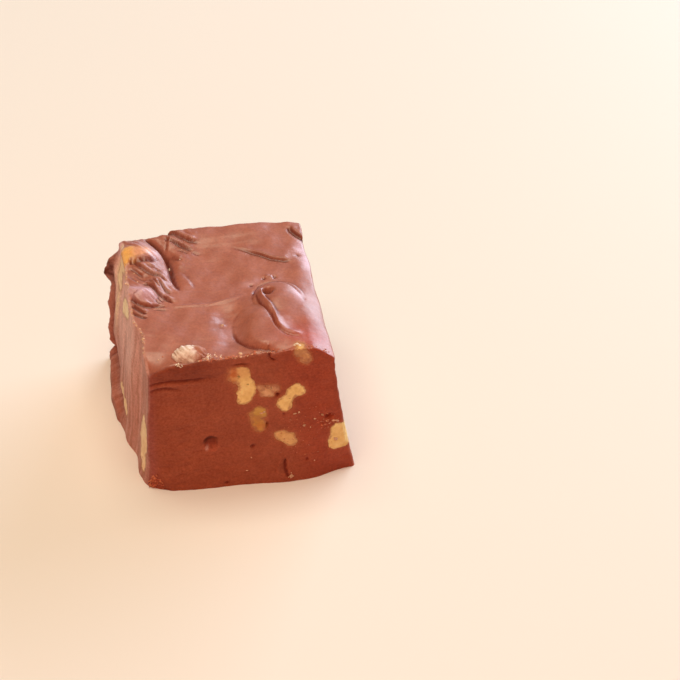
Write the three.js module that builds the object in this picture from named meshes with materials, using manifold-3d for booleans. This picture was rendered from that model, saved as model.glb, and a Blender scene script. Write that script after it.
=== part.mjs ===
// A square of chocolate fudge with chopped walnuts, cut from a slab with a knife.
// Millimetres, +Z up. The shape is worked out in a "piece frame" whose origin is the
// front left corner of the base (X to the right along the front face, Y to the back),
// and the finished group is moved so that its origin is the middle of the base.
import * as THREE from 'three';
import { mergeVertices } from 'three/addons/utils/BufferGeometryUtils.js';
import Module from 'manifold-3d';

// ---------- Driving dimensions ----------
const WIDTH = 47.4;          // top, left to right
const DEPTH = 51.7;          // top, front to back
const HEIGHT = 40.3;         // base to the plain parts of the top
const SPREAD_RIGHT = 5.7;    // how far the right side slumps outwards at the base
const SPREAD_FRONT = 3.4;
const SPREAD_BACK = 1.6;
const LEAN_LEFT = 2.3;       // how far the left side flares out at the front corner
const FOOT_WIDTH = 1.5;      // pressed-out foot along the left of the base
const FOOT_HEIGHT = 4.6;
const FOOT_STEP = 0.5;       // how far the foot starts out from the side at its front end
const EDGE_RADIUS = 0.8;
const CORNER_DROP = 6.2;     // how far the top front left corner is worn down
const NUT_GAP = 0.3;         // clearance between a walnut and its pocket
const SPARE_BELOW = 1;       // extra depth that the flat base cut takes off
const FOOTPRINT_CENTRE = [23.1, 25.4];   // middle of the whole outline, piece frame

const BUBBLE = { x: 16.5, z: 13.7, radius: 1.75, depth: 1.3 };
const SLIT = { x: 35.8, top: 5.5, bottom: -2, width: 1.5, depth: 2.4 };

// Grid of the outer surface
const CELLS = { x: 40, y: 42, z: 8 };
const LOBE_SIDES = 7;
const LOBE_RINGS = 5;
const BUNCHING = { x: 0.35, y: 0.35, z: 0.55 };   // 0 is an even grid, 1 crowds the lines at the edges
const SETTLING_STEPS = 4;
const PATH_STEPS = 24;

// ---------- Small helpers ----------
const clamp = (value, low, high) => Math.min(Math.max(value, low), high);
const mix = (a, b, t) => a + (b - a) * t;
const bell = (x, width) => Math.exp(-((x / width) ** 2));
function ramp(from, to, x) {
  const t = clamp((x - from) / (to - from), 0, 1);
  return t * t * (3 - 2 * t);
}

// A smooth line through a few points on the top, cut into short straight steps.
function smoothLine(points, steps = PATH_STEPS) {
  const corners = points.map(([x, y]) => new THREE.Vector3(x, y, 0));
  return new THREE.CatmullRomCurve3(corners, false, 'catmullrom', 0.5).getPoints(steps);
}

// Signed distance from a line (positive on the left of its run) and how far along it is.
function nearest(line, x, y) {
  let best = Infinity;
  let side = 0;
  let along = 0;
  for (let k = 0; k < line.length - 1; k += 1) {
    const runX = line[k + 1].x - line[k].x;
    const runY = line[k + 1].y - line[k].y;
    const offX = x - line[k].x;
    const offY = y - line[k].y;
    const t = clamp((offX * runX + offY * runY) / (runX * runX + runY * runY), 0, 1);
    const square = (offX - t * runX) ** 2 + (offY - t * runY) ** 2;
    if (square < best) {
      best = square;
      side = Math.sign(runX * offY - runY * offX) || 1;
      along = (k + t) / (line.length - 1);
    }
  }
  return { distance: side * Math.sqrt(best), along };
}

// Fades a feature out over the given shares of its two ends.
const fade = (along, start, end) => ramp(0, start, along) * (1 - ramp(1 - end, 1, along));

// ---------- The top: folds, swirl and mound ----------
// Each fold is a crease with a rounded lip on the left of its run.
// Its values: points of its run, depth and width of the crease, height and reach of the
// lip, and the shares of the run over which its two ends fade out.
const fold = (run, cut, width, lip, reach, ends) => ({ line: smoothLine(run), cut, width, lip, reach, ends });
const FOLDS = [
  fold([[9, 51.8], [13, 49.5], [19.6, 45.6]], 0.6, 1.4, 0.85, 1.9, [0.3, 0.2]),
  fold([[8.6, 46.4], [11.7, 46.3], [15.8, 43]], 0.6, 1.4, 0.75, 1.5, [0.3, 0.2]),
  fold([[25.2, 43.9], [33, 39.6], [36.7, 37.2], [41, 35.7]], 0.5, 1.4, 0.6, 2.2, [0.5, 0.1]),
  fold([[41.6, 49.6], [43, 47.2], [45.6, 44.4]], 0.8, 1.4, 0.5, 1.5, [0.25, 0.02]),
  fold([[1.6, 37.6], [4.5, 38.1], [7.2, 39.4]], 0.6, 1.3, 0.9, 1.5, [0.2, 0.3]),
  fold([[1.2, 38.4], [3.6, 35.7], [7.6, 32.6]], 0.5, 1.3, 0.5, 1.2, [0.25, 0.2]),
  fold([[6.4, 31.7], [7.9, 28.4], [9.5, 26.3]], 0.45, 1.3, 0.4, 1.2, [0.25, 0.25]),
  fold([[2.8, 30], [5.1, 28.8], [7.6, 25], [9.9, 22.6]], 0.6, 1.3, 0.6, 1.2, [0.15, 0.2]),
  fold([[0.6, 23.6], [2.4, 21], [3.6, 20.3]], 0.7, 1.4, 0.6, 1.3, [0.1, 0.3]),
];

const VALLEY = smoothLine([[4, 49.5], [7.7, 42.7], [9.9, 37], [10.1, 30.5], [11.4, 26.5]]);
const RIDGE = smoothLine([[9, 21.9], [15.6, 21.4], [23.1, 22.5], [28.8, 24.8]]);

// The swirl is one curl: its outer edge runs round the back of the knob from the right,
// turns down at the eye and runs out over the mound.
const CURL = smoothLine([
  [42.2, 18.4], [41.4, 21.6], [39.2, 25.3], [36.2, 27.1], [33, 26.8], [30.4, 25.3], [29.9, 23], [30.5, 19.4],
  [32.2, 15.9], [33.3, 13.2], [33.8, 10.2], [35.1, 7.6], [37.4, 6], [40.4, 5.4],
], 52);
const CURL_TURN = 0.47;   // the share of the curl that lies round the knob
const MOUND = { x: 33.8, y: 11.5, radius: 10.1, rise: 1.2, riseRight: 0.4 };
const KNOB = { x: 36, y: 21.6, radius: 6.4, rise: 2 };
const EYE = { x: 33.4, y: 23.1, halfWidth: 1.1, depth: 1.8 };

function foldHeight({ line, cut, width, lip, reach, ends }, x, y) {
  const { distance, along } = nearest(line, x, y);
  const raised = lip * ramp(-0.15 * width, width, distance) * Math.exp(-Math.max(distance, 0) / reach);
  return fade(along, ...ends) * (raised - cut * bell(distance, width * 0.6));
}

// Broad, smooth lumps: [x, y, half length in x, half length in y, rise]
const LUMPS = [
  [20, 33, 8, 9, -0.7],        // basin in the middle
  [2.4, 43.2, 4.2, 4.2, 1.6],  // over the corner walnut
  [4.6, 41.4, 2.8, 1.6, 0.4],
  [4.8, 37.5, 3.4, 6.5, 1.3],
  [6.8, 30.5, 2.4, 3.5, 0.8],
  [1.4, 25.4, 3.2, 2.8, 1.4],
  [3.6, 33.2, 2.4, 1.9, -0.8],
];

function swirlHeight(x, y) {
  // the mound rises gently; only at the front left does it bulge over a crease
  const fromRim = MOUND.radius - Math.hypot(x - MOUND.x, y - MOUND.y);
  const west = ramp(6, -4, x - MOUND.x);
  const frontLeft = 1 - ramp(3, 13, y);
  let height = mix(MOUND.riseRight, MOUND.rise, west) * ramp(0, mix(5, 1.8, frontLeft * west), fromRim);
  height -= mix(0.12, 0.75, frontLeft) * bell(fromRim + 0.15, 0.9) * west * (1 - ramp(16, 21, y));

  // the knob is a dome with a steep back, and runs out smoothly to the front
  const curl = nearest(CURL, x, y);
  const knobShare = Math.hypot(x - KNOB.x, y - KNOB.y) / KNOB.radius;
  const cone = 1 - ramp(0.1, 1.05, knobShare);
  const cap = Math.sqrt(clamp(1 - knobShare ** 2.2, 0, 1));
  height += KNOB.rise * mix(cone, cap, ramp(-3.5, 2.5, y - KNOB.y));
  const roundKnob = ramp(0, 0.1, curl.along) * (1 - ramp(CURL_TURN - 0.08, CURL_TURN + 0.06, curl.along));
  height -= 0.45 * roundKnob * bell(curl.distance + 0.5, 0.8);

  // from the eye the edge runs out as a ribbon beside a groove
  const running = ramp(CURL_TURN - 0.08, CURL_TURN + 0.04, curl.along) * (1 - ramp(0.93, 1, curl.along));
  height += running * (0.5 * bell(curl.distance - 1, 0.9) - 0.6 * bell(curl.distance + 0.3, 0.7));
  return height - EYE.depth * bell(Math.hypot(x - EYE.x, y - EYE.y), EYE.halfWidth);
}

function topHeight(x, y) {
  let height = HEIGHT + 0.1 * Math.sin(0.5 * x + 0.35 * y) + 0.08 * Math.sin(0.9 * x - 0.6 * y + 1);
  height += 0.9 * ramp(24, 30, x) * (1 - ramp(10, 26, y));
  height += 0.8 * ramp(41, 50, y) * ramp(10, 16, x) * (1 - 0.5 * ramp(38, 46, x));
  height += ramp(43, 49, y) * (0.7 * bell(x - 7.5, 4.5) + 0.25 * bell(x - 26, 10));
  height += 1.3 * (1 - ramp(-1, 9.5, x)) * ramp(22.5, 27.5, y);
  for (const [lumpX, lumpY, lengthX, lengthY, rise] of LUMPS) {
    height += rise * bell(x - lumpX, lengthX) * bell(y - lumpY, lengthY);
  }
  // the valley beside the hump is steep on the hump's side and opens out to the right
  const valley = nearest(VALLEY, x, y);
  const valleyWidth = valley.distance > 0 ? mix(2.4, 1.3, valley.along) : 0.9;
  height -= 3.2 * (1 - 0.7 * valley.along) * fade(valley.along, 0.1, 0.15) * bell(valley.distance, valleyWidth);
  height -= 1.1 * bell(x - 22.6, 3.4) * ramp(1, 8, y) * (1 - ramp(16, 23, y));
  height += swirlHeight(x, y);
  for (const each of FOLDS) height += foldHeight(each, x, y);
  const ridge = nearest(RIDGE, x, y);
  height += 0.3 * bell(ridge.distance, 1) * fade(ridge.along, 0.15, 0.25);
  // the right margin rolls down to its edge
  height -= 3.2 * clamp((x - 41.5) / 6, 0, 1) ** 1.7 * (1 - 0.4 * ramp(20, 34, y));
  // the front left corner is worn down
  return height - CORNER_DROP * Math.exp(-Math.hypot(x - 1, (y - 0.6) / 0.8, 0.45) / 2.8);
}

// ---------- The four sides ----------
const upShare = (z) => clamp(z / 40, 0, 1);

function leftSide(y, z) {
  const topEdge = 1.2 - 2.4 * ramp(10.5, 19, y) - 0.4 * ramp(24, 34, y);
  const corner = 1.4 * ramp(45, 50, y) * ramp(0, 38, z);
  const belly = 1.3 * ramp(40, 46, y) * ramp(5, 14, z) * (1 - ramp(32, 39, z));
  // near the front the side stands upright and flares out at its foot, further back it leans
  const spread = LEAN_LEFT + 0.8 * ramp(1.5, 5, y) + 0.2 * ramp(16, 30, y);
  const lean = spread * (1 - upShare(z)) ** mix(2.8, 1.1, ramp(2, 16, y));
  const footWidth = FOOT_WIDTH * ramp(18, 28, y) + FOOT_STEP * ramp(23.5, 25.5, y) - 0.9 * ramp(47.5, 48.5, y);
  const foot = footWidth * (1 - ramp(FOOT_HEIGHT - 2.2, FOOT_HEIGHT, z));
  // an upright lip at the back edge, with a groove in front of it and a curled lump on top
  const groove = 0.8 * bell(y - 47.7, 0.9) * (1 - ramp(30, 36, z));
  const lip = (0.3 + 0.8 * bell(z - 8.5, 4) + 0.75 * bell(z - 20, 3.5))
    * ramp(48, 49, y) * (1 - ramp(33, 38, z));
  const lump = 2.3 * bell(y - 49.6, 2) * Math.exp(-(((z - 32.6) / 4.3) ** 4));
  const waves = 0.18 * Math.sin(0.23 * z + 0.31 * y) + 0.12 * Math.sin(0.7 * y + 0.5);
  return topEdge - corner - belly - lean - foot + groove - lip - lump + waves;
}

function rightSide(y, z) {
  const spread = (SPREAD_RIGHT - 0.8 * ramp(10, 50, y)) * (1 - clamp(z / 38, 0, 1)) ** 1.35;
  return WIDTH - 0.05 * y + spread + 0.15 * Math.sin(0.4 * y);
}

function frontSide(x, z) {
  const middle = ramp(-4, 7, x) * (1 - ramp(40, 53, x));
  return 0.6 - SPREAD_FRONT * middle * (1 - upShare(z)) ** 1.5 + 0.15 * Math.sin(0.33 * x + 0.2 * z);
}

function backSide(x, z) {
  const topEdge = DEPTH - 2.9 + 3.4 * ramp(-4, 24, x) - 0.9 * ramp(36, 46, x);
  return topEdge + SPREAD_BACK * (1 - upShare(z)) ** 1.3;
}

// ---------- From a plain box to the slumped block ----------
const BOX = { x: 50, y: 51, z: 40 };

// Edge radius at a point of the plain box: small, and larger at three soft corners.
function edgeRadius(x, y, z) {
  const down = BOX.z - z;
  return EDGE_RADIUS
    + 0.8 * bell(x - 2, 5) * bell(y, 3) * bell(down, 4)
    + 1.8 * bell(x, 5) * bell(y, 5) * bell(z, 7)
    + 1.4 * bell(x, 6) * bell(BOX.y - y, 6) * bell(down, 8)
    + 0.6 * bell(BOX.y - y, 4) * bell(down, 4);
}

// Rounds the upright and upper edges of the plain box.
function roundEdges(point) {
  const radius = edgeRadius(point.x, point.y, point.z);
  const core = new THREE.Vector3(
    clamp(point.x, radius, BOX.x - radius),
    clamp(point.y, radius, BOX.y - radius),
    clamp(point.z, -SPARE_BELOW, BOX.z - radius),
  );
  const out = point.clone().sub(core);
  const length = out.length();
  if (length < 1e-9) return core;
  const reach = Math.max(Math.abs(out.x), Math.abs(out.y), Math.abs(out.z));
  return core.addScaledVector(out, reach / length);
}

// Moves a point of the plain box to its place on the real block. Width and depth depend on
// the height and the height on width and depth, so a few passes settle all three.
function settle(point) {
  const rounded = roundEdges(point);
  const across = rounded.x / BOX.x;
  const back = rounded.y / BOX.y;
  const up = (rounded.z + SPARE_BELOW) / (BOX.z + SPARE_BELOW);
  let { x, y } = rounded;
  let z = 0;
  for (let pass = 0; pass < SETTLING_STEPS; pass += 1) {
    z = -SPARE_BELOW + (topHeight(x, y) + SPARE_BELOW) * up;
    x = mix(leftSide(y, z), rightSide(y, z), across);
    y = mix(frontSide(x, z), backSide(x, z), back);
  }
  return new THREE.Vector3(x, y, z);
}

// ---------- Solids ----------
const wasm = await Module();
wasm.setup();

// One closed surface: vertices that share a place become one.
function weld(geometry) {
  const plain = geometry.clone();
  plain.deleteAttribute('normal');
  plain.deleteAttribute('uv');
  return mergeVertices(plain, 1e-5);
}

function toSolid(geometry) {
  const welded = weld(geometry);
  return new wasm.Manifold(new wasm.Mesh({
    numProp: 3,
    vertProperties: new Float32Array(welded.attributes.position.array),
    triVerts: new Uint32Array(welded.index.array),
  }));
}

function toGeometry(solid) {
  const { vertProperties, triVerts } = solid.getMesh();
  const geometry = new THREE.BufferGeometry();
  geometry.setAttribute('position', new THREE.BufferAttribute(new Float32Array(vertProperties), 3));
  geometry.setIndex(new THREE.BufferAttribute(new Uint32Array(triVerts), 1));
  geometry.computeVertexNormals();
  return geometry;
}

// Closer grid lines near the two ends of 0 to 1.
const bunch = (t, amount) => t - amount * Math.sin(2 * Math.PI * t) / (2 * Math.PI);

function blockSolid() {
  const geometry = new THREE.BoxGeometry(1, 1, 1, CELLS.x, CELLS.y, CELLS.z);
  const { position } = geometry.attributes;
  for (let k = 0; k < position.count; k += 1) {
    const point = new THREE.Vector3(
      BOX.x * bunch(position.getX(k) + 0.5, BUNCHING.x),
      BOX.y * bunch(position.getY(k) + 0.5, BUNCHING.y),
      -SPARE_BELOW + (BOX.z + SPARE_BELOW) * bunch(position.getZ(k) + 0.5, BUNCHING.z),
    );
    position.setXYZ(k, ...settle(point));
  }
  // the knife cut that makes the base flat
  const below = new THREE.BoxGeometry(200, 200, 20).translate(0, 0, -10);
  return toSolid(geometry).subtract(toSolid(below));
}

// An egg-shaped lobe, tipped about the axis that leaves the face it shows on.
function lobe([x, y, z], [a, b, c], tip = 0, axis = 'Y') {
  const geometry = new THREE.SphereGeometry(1, LOBE_SIDES, LOBE_RINGS);
  geometry.scale(a, b, c);
  geometry[`rotate${axis}`](THREE.MathUtils.degToRad(tip));
  return geometry.translate(x, y, z);
}

// ---------- The walnut pieces ----------
// Lobes on the front face: [x, z, half width, half height, tip in degrees]
const DEPTH_IN = 0.8;        // how far a lobe's middle lies behind the cut face
const HALF_THICKNESS = 2.6;
const onFront = (x, z, a, c, tip = 0) =>
  lobe([x, frontSide(x, z) + DEPTH_IN, z], [a, HALF_THICKNESS, c], tip, 'Y');
const onBack = (x, z, a, c, tip = 0) =>
  lobe([x, backSide(x, z) - DEPTH_IN, z], [a, HALF_THICKNESS, c], tip, 'Y');
const onRight = (y, z, b, c, tip = 0) =>
  lobe([rightSide(y, z) - DEPTH_IN, y, z], [HALF_THICKNESS, b, c], tip, 'X');
const onLeft = (y, z, b, c, tip = 0) =>
  lobe([leftSide(y, z) + DEPTH_IN, y, z], [HALF_THICKNESS, b, c], tip, 'X');

const WALNUTS = {
  walnut_front_upper: [onFront(23.8, 35, 3, 2.4), onFront(25.2, 32, 2.1, 2.8), onFront(25.7, 28.4, 2.5, 3.4)],
  walnut_front_smear: [onFront(30.8, 28.7, 2.3, 1.7, 10), onFront(29.1, 29.6, 1.3, 1.2, 45)],
  walnut_front_slanting: [
    onFront(38.3, 28.4, 2.3, 2, 15), onFront(36.4, 26.9, 2.2, 1.7, -45), onFront(34.9, 24.7, 2.3, 2.4, -15),
  ],
  walnut_front_olive: [onFront(28.4, 21.7, 2.1, 2.4), onFront(28.5, 18.2, 1.6, 2.3)],
  walnut_front_lower: [onFront(34.4, 14.5, 2.5, 1.9, 15), onFront(36.3, 12.9, 2, 1.8, 35)],
  walnut_front_edge: [lobe([49.4, 1.2, 12.5], [3.2, 3, 3.8]), lobe([48.3, 1.1, 10.6], [3.1, 3, 3.1])],
  walnut_top_edge: [lobe([40.2, 1.9, 38.4], [1.8, 2.4, 2.8]), lobe([39.2, 1.8, 40.6], [1.6, 2, 1.9])],
  walnut_left_corner: [lobe([0.5, 42, 38.8], [4.2, 3.7, 3.1]), onLeft(43, 33.5, 1.9, 5.2)],
  walnut_left_upper: [
    onLeft(27, 36, 3.4, 2.8, -38), onLeft(30.4, 33.6, 3, 2.7, -38), onLeft(34, 31, 4.2, 2.4, -36),
  ],
  walnut_left_streak: [onLeft(26, 7, 5.2, 2.3)],
  walnut_left_edge: [onLeft(5.2, 14.8, 4, 4.4, 15), onLeft(4.8, 8.6, 3, 4.2)],
  walnut_right_middle: [onRight(17, 24, 3.1, 2.2, 20), onRight(20.2, 22.4, 2.2, 1.9)],
  walnut_right_lower: [onRight(31, 12, 2.4, 2.9)],
  walnut_right_back: [onRight(42.5, 27, 2.6, 1.9, -30), onRight(40.6, 29.4, 1.9, 1.9)],
  walnut_back_upper: [onBack(33, 29.5, 3, 2.1, 20), onBack(30.2, 27.8, 2.2, 2.3)],
  walnut_back_middle: [onBack(17.5, 18.5, 2.2, 3.1, 10)],
  walnut_back_lower: [onBack(39.5, 11, 2.7, 2, -15)],
};

// The dusty walnut that stands out of the top at the front edge
const DOME = { name: 'walnut_top_dome', middle: [11.8, 3, 40], half: [4.9, 2.9, 2.7] };

const joined = (solids) => solids.reduce((whole, next) => whole.add(next));

// The same lobe pushed outwards along its own normals by the pocket's clearance.
function grown(geometry) {
  const wider = weld(geometry);
  wider.computeVertexNormals();
  const { position, normal } = wider.attributes;
  for (let k = 0; k < position.count; k += 1) {
    position.setXYZ(
      k,
      position.getX(k) + NUT_GAP * 1.1 * normal.getX(k),
      position.getY(k) + NUT_GAP * 1.1 * normal.getY(k),
      position.getZ(k) + NUT_GAP * 1.1 * normal.getZ(k),
    );
  }
  return wider;
}

function bubbleHole() {
  const { x, z, radius, depth } = BUBBLE;
  const geometry = new THREE.SphereGeometry(radius, 10, 7);
  return toSolid(geometry.translate(x, frontSide(x, z) - radius + depth + 0.6, z));
}

// A narrow tapered cut that opens out of the base
function slitHole() {
  const { x, top, bottom, width, depth } = SLIT;
  const geometry = new THREE.ConeGeometry(1, top - bottom, 6);
  geometry.rotateX(Math.PI / 2);
  geometry.scale(width / 2, depth / 2, 1);
  const middle = (top + bottom) / 2;
  return toSolid(geometry.translate(x, frontSide(x, 0) + 0.5, middle));
}

const FUDGE_MATERIAL = new THREE.MeshStandardMaterial({ color: 0x8a4636, roughness: 0.42, metalness: 0 });
const WALNUT_MATERIAL = new THREE.MeshStandardMaterial({ color: 0xdca064, roughness: 0.55, metalness: 0 });
const DUSTY_MATERIAL = new THREE.MeshStandardMaterial({ color: 0xe8c0a2, roughness: 0.8, metalness: 0 });

function buildPiece() {
  const group = new THREE.Group();
  const block = blockSolid();
  let fudge = block;

  const addPiece = (name, solid, material) => {
    const mesh = new THREE.Mesh(toGeometry(solid), material.clone());
    mesh.name = name;
    group.add(mesh);
  };

  for (const [name, lobes] of Object.entries(WALNUTS)) {
    const nut = joined(lobes.map(toSolid)).intersect(block);
    const pocket = joined(lobes.map((geometry) => toSolid(grown(geometry))));
    fudge = fudge.subtract(pocket);
    addPiece(name, nut, WALNUT_MATERIAL);
  }

  // the dome keeps its rounded top and is only cut off flush with the front face
  const domeLobe = new THREE.SphereGeometry(1, 14, 9).scale(...DOME.half).translate(...DOME.middle);
  const inFront = new THREE.BoxGeometry(60, 20, 60).translate(DOME.middle[0], 0.7 - 10, DOME.middle[2]);
  fudge = fudge.subtract(toSolid(grown(domeLobe)));
  addPiece(DOME.name, toSolid(domeLobe).subtract(toSolid(inFront)), DUSTY_MATERIAL);

  addPiece('fudge', fudge.subtract(bubbleHole()).subtract(slitHole()), FUDGE_MATERIAL);
  return group;
}

const piece = buildPiece();
piece.position.set(-FOOTPRINT_CENTRE[0], -FOOTPRINT_CENTRE[1], 0);

export default piece;
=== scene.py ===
"""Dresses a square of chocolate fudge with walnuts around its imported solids.

Lengths are millimetres in the piece frame: the origin is the front left corner of the
base, X runs right along the front face, Y to the back and Z up. add_piece() turns them
into metres in the row frame, whose origin is the middle of the outline.
"""
import itertools
import math

import bmesh
import bpy
import numpy as np
from mathutils import Euler, Matrix, Vector


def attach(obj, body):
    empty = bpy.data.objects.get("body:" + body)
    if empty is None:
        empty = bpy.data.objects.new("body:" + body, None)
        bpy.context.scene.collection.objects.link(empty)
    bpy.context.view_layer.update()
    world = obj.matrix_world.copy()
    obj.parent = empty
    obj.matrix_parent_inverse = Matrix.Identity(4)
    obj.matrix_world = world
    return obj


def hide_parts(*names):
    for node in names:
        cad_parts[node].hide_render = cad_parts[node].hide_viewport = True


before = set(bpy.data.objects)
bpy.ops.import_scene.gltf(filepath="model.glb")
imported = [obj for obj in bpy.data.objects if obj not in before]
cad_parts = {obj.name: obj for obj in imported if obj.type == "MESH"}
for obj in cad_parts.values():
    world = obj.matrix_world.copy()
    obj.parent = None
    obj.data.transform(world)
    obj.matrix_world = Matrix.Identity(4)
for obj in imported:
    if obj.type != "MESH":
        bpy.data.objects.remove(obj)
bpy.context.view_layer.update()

MM = 0.001
FOOTPRINT_CENTRE = np.array([23.1, 25.4, 0.0])


# ---------- Small helpers ----------
def ramp(start, end, x):
    """Rises smoothly from 0 at start to 1 at end; start may be the higher of the two."""
    t = np.clip((x - start) / (end - start), 0, 1)
    return t * t * (3 - 2 * t)


def bell(x, width):
    return np.exp(-((x / width) ** 2))


def mix(a, b, t):
    return a + (b - a) * t


def linear(red, green, blue):
    """A screen colour, 0 to 255, as the linear colour that shaders use."""
    shown = np.array([red, green, blue]) / 255
    return np.where(shown < 0.04045, shown / 12.92, ((shown + 0.055) / 1.055) ** 2.4)


def lattice_noise(points, seed):
    """Smooth noise from -1 to 1, one bump to a unit, for rows of 3 coordinates."""
    cell = np.floor(points).astype(np.int64)
    part = points - cell
    part = part * part * (3 - 2 * part)
    total = np.zeros(len(points))
    for corner in itertools.product((0, 1), repeat=3):
        x, y, z = (cell + corner).T
        code = (x * 73856093) ^ (y * 19349663) ^ (z * 83492791) ^ (seed * 374761393)
        code = ((code ^ (code >> 13)) * 1274126177) & 0x7FFFFFFF
        code = (code ^ (code >> 15)) & 0xFFFF
        weight = np.where(corner, part, 1 - part).prod(axis=1)
        total += weight * (code / 32767.5 - 1)
    return total


def noise(x, y, z, size, seed, octaves=2):
    """Layered noise whose bumps are about size mm; size may differ along each axis."""
    points = np.stack(np.broadcast_arrays(x, y, z), axis=1) / np.array(size)
    total = np.zeros(len(points))
    for octave in range(octaves):
        total += 0.55**octave * lattice_noise(points * 2.03**octave, seed + 17 * octave)
    return total


def even_noise(points, size, seed, octaves=2):
    """Noise whose bumps are alike every way, for rows of 3 coordinates."""
    return noise(*points.T, (size, size, size), seed, octaves)


def flat_noise(a, b, size, seed, octaves=2):
    """Noise over a side, from the two coordinates that run along it."""
    return noise(a, b, 0 * a, (*size, 1), seed, octaves)


def at(surface, a, b):
    """The value of a surface function at one place."""
    return float(surface(np.array([a]), np.array([b]))[0])


def smooth_line(points, steps=20):
    """A Catmull-Rom line through the points, cut into short straight steps."""
    p = np.array(points, float)
    p = np.vstack([2 * p[0] - p[1], p, 2 * p[-1] - p[-2]])
    spans = len(p) - 3
    line = []
    for k in range(steps + 1):
        place = k / steps * spans
        i = min(int(place), spans - 1)
        t = place - i
        a, b, c, d = p[i : i + 4]
        line.append(
            0.5 * (2 * b + (c - a) * t + (2 * a - 5 * b + 4 * c - d) * t**2 + (3 * b - a - 3 * c + d) * t**3)
        )
    return np.array(line)


REACH = 9.0    # lines have no effect further off than this


def nearest(line, x, y):
    """Signed distance from a line (positive on the left of its run) and the share of it passed.
    Points out of reach keep a large distance."""
    distance = np.full(x.shape, 1e3)
    along = np.zeros(x.shape)
    low, high = line.min(0) - REACH, line.max(0) + REACH
    close = np.flatnonzero((x > low[0]) & (x < high[0]) & (y > low[1]) & (y < high[1]))
    if not len(close):
        return distance, along
    px, py = x[close], y[close]
    best = np.full(len(close), np.inf)
    side = np.ones(len(close))
    share = np.zeros(len(close))
    for k in range(len(line) - 1):
        run = line[k + 1] - line[k]
        off_x, off_y = px - line[k, 0], py - line[k, 1]
        t = np.clip((off_x * run[0] + off_y * run[1]) / (run @ run), 0, 1)
        square = (off_x - t * run[0]) ** 2 + (off_y - t * run[1]) ** 2
        closer = square < best
        best = np.where(closer, square, best)
        side = np.where(closer, np.where(run[0] * off_y - run[1] * off_x < 0, -1.0, 1.0), side)
        share = np.where(closer, (k + t) / (len(line) - 1), share)
    distance[close] = side * np.sqrt(best)
    along[close] = share
    return distance, along


def fade(along, start, end):
    """Rises over the first share of a line, start, and falls over its last share, end."""
    return ramp(0, start, along) * ramp(1, 1 - end, along)


# ---------- The top: folds, swirl and mound ----------
WIDTH, DEPTH, HEIGHT = 47.4, 51.7, 40.3    # of the block at its top
# How far the base stands out past the top on each side
SPREAD_RIGHT, SPREAD_FRONT, SPREAD_BACK, SPREAD_LEFT = 5.7, 3.4, 1.6, 2.3
CORNER_DROP = 6.2           # how far the front left corner is worn down
FOOT_WIDTH, FOOT_HEIGHT = 1.5, 4.6
GROOVE_Y = 47.7             # a groove parts the lip at the back from the rest of the left side
LUMP_Y, LUMP_Z = 49.6, 32.6

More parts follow.
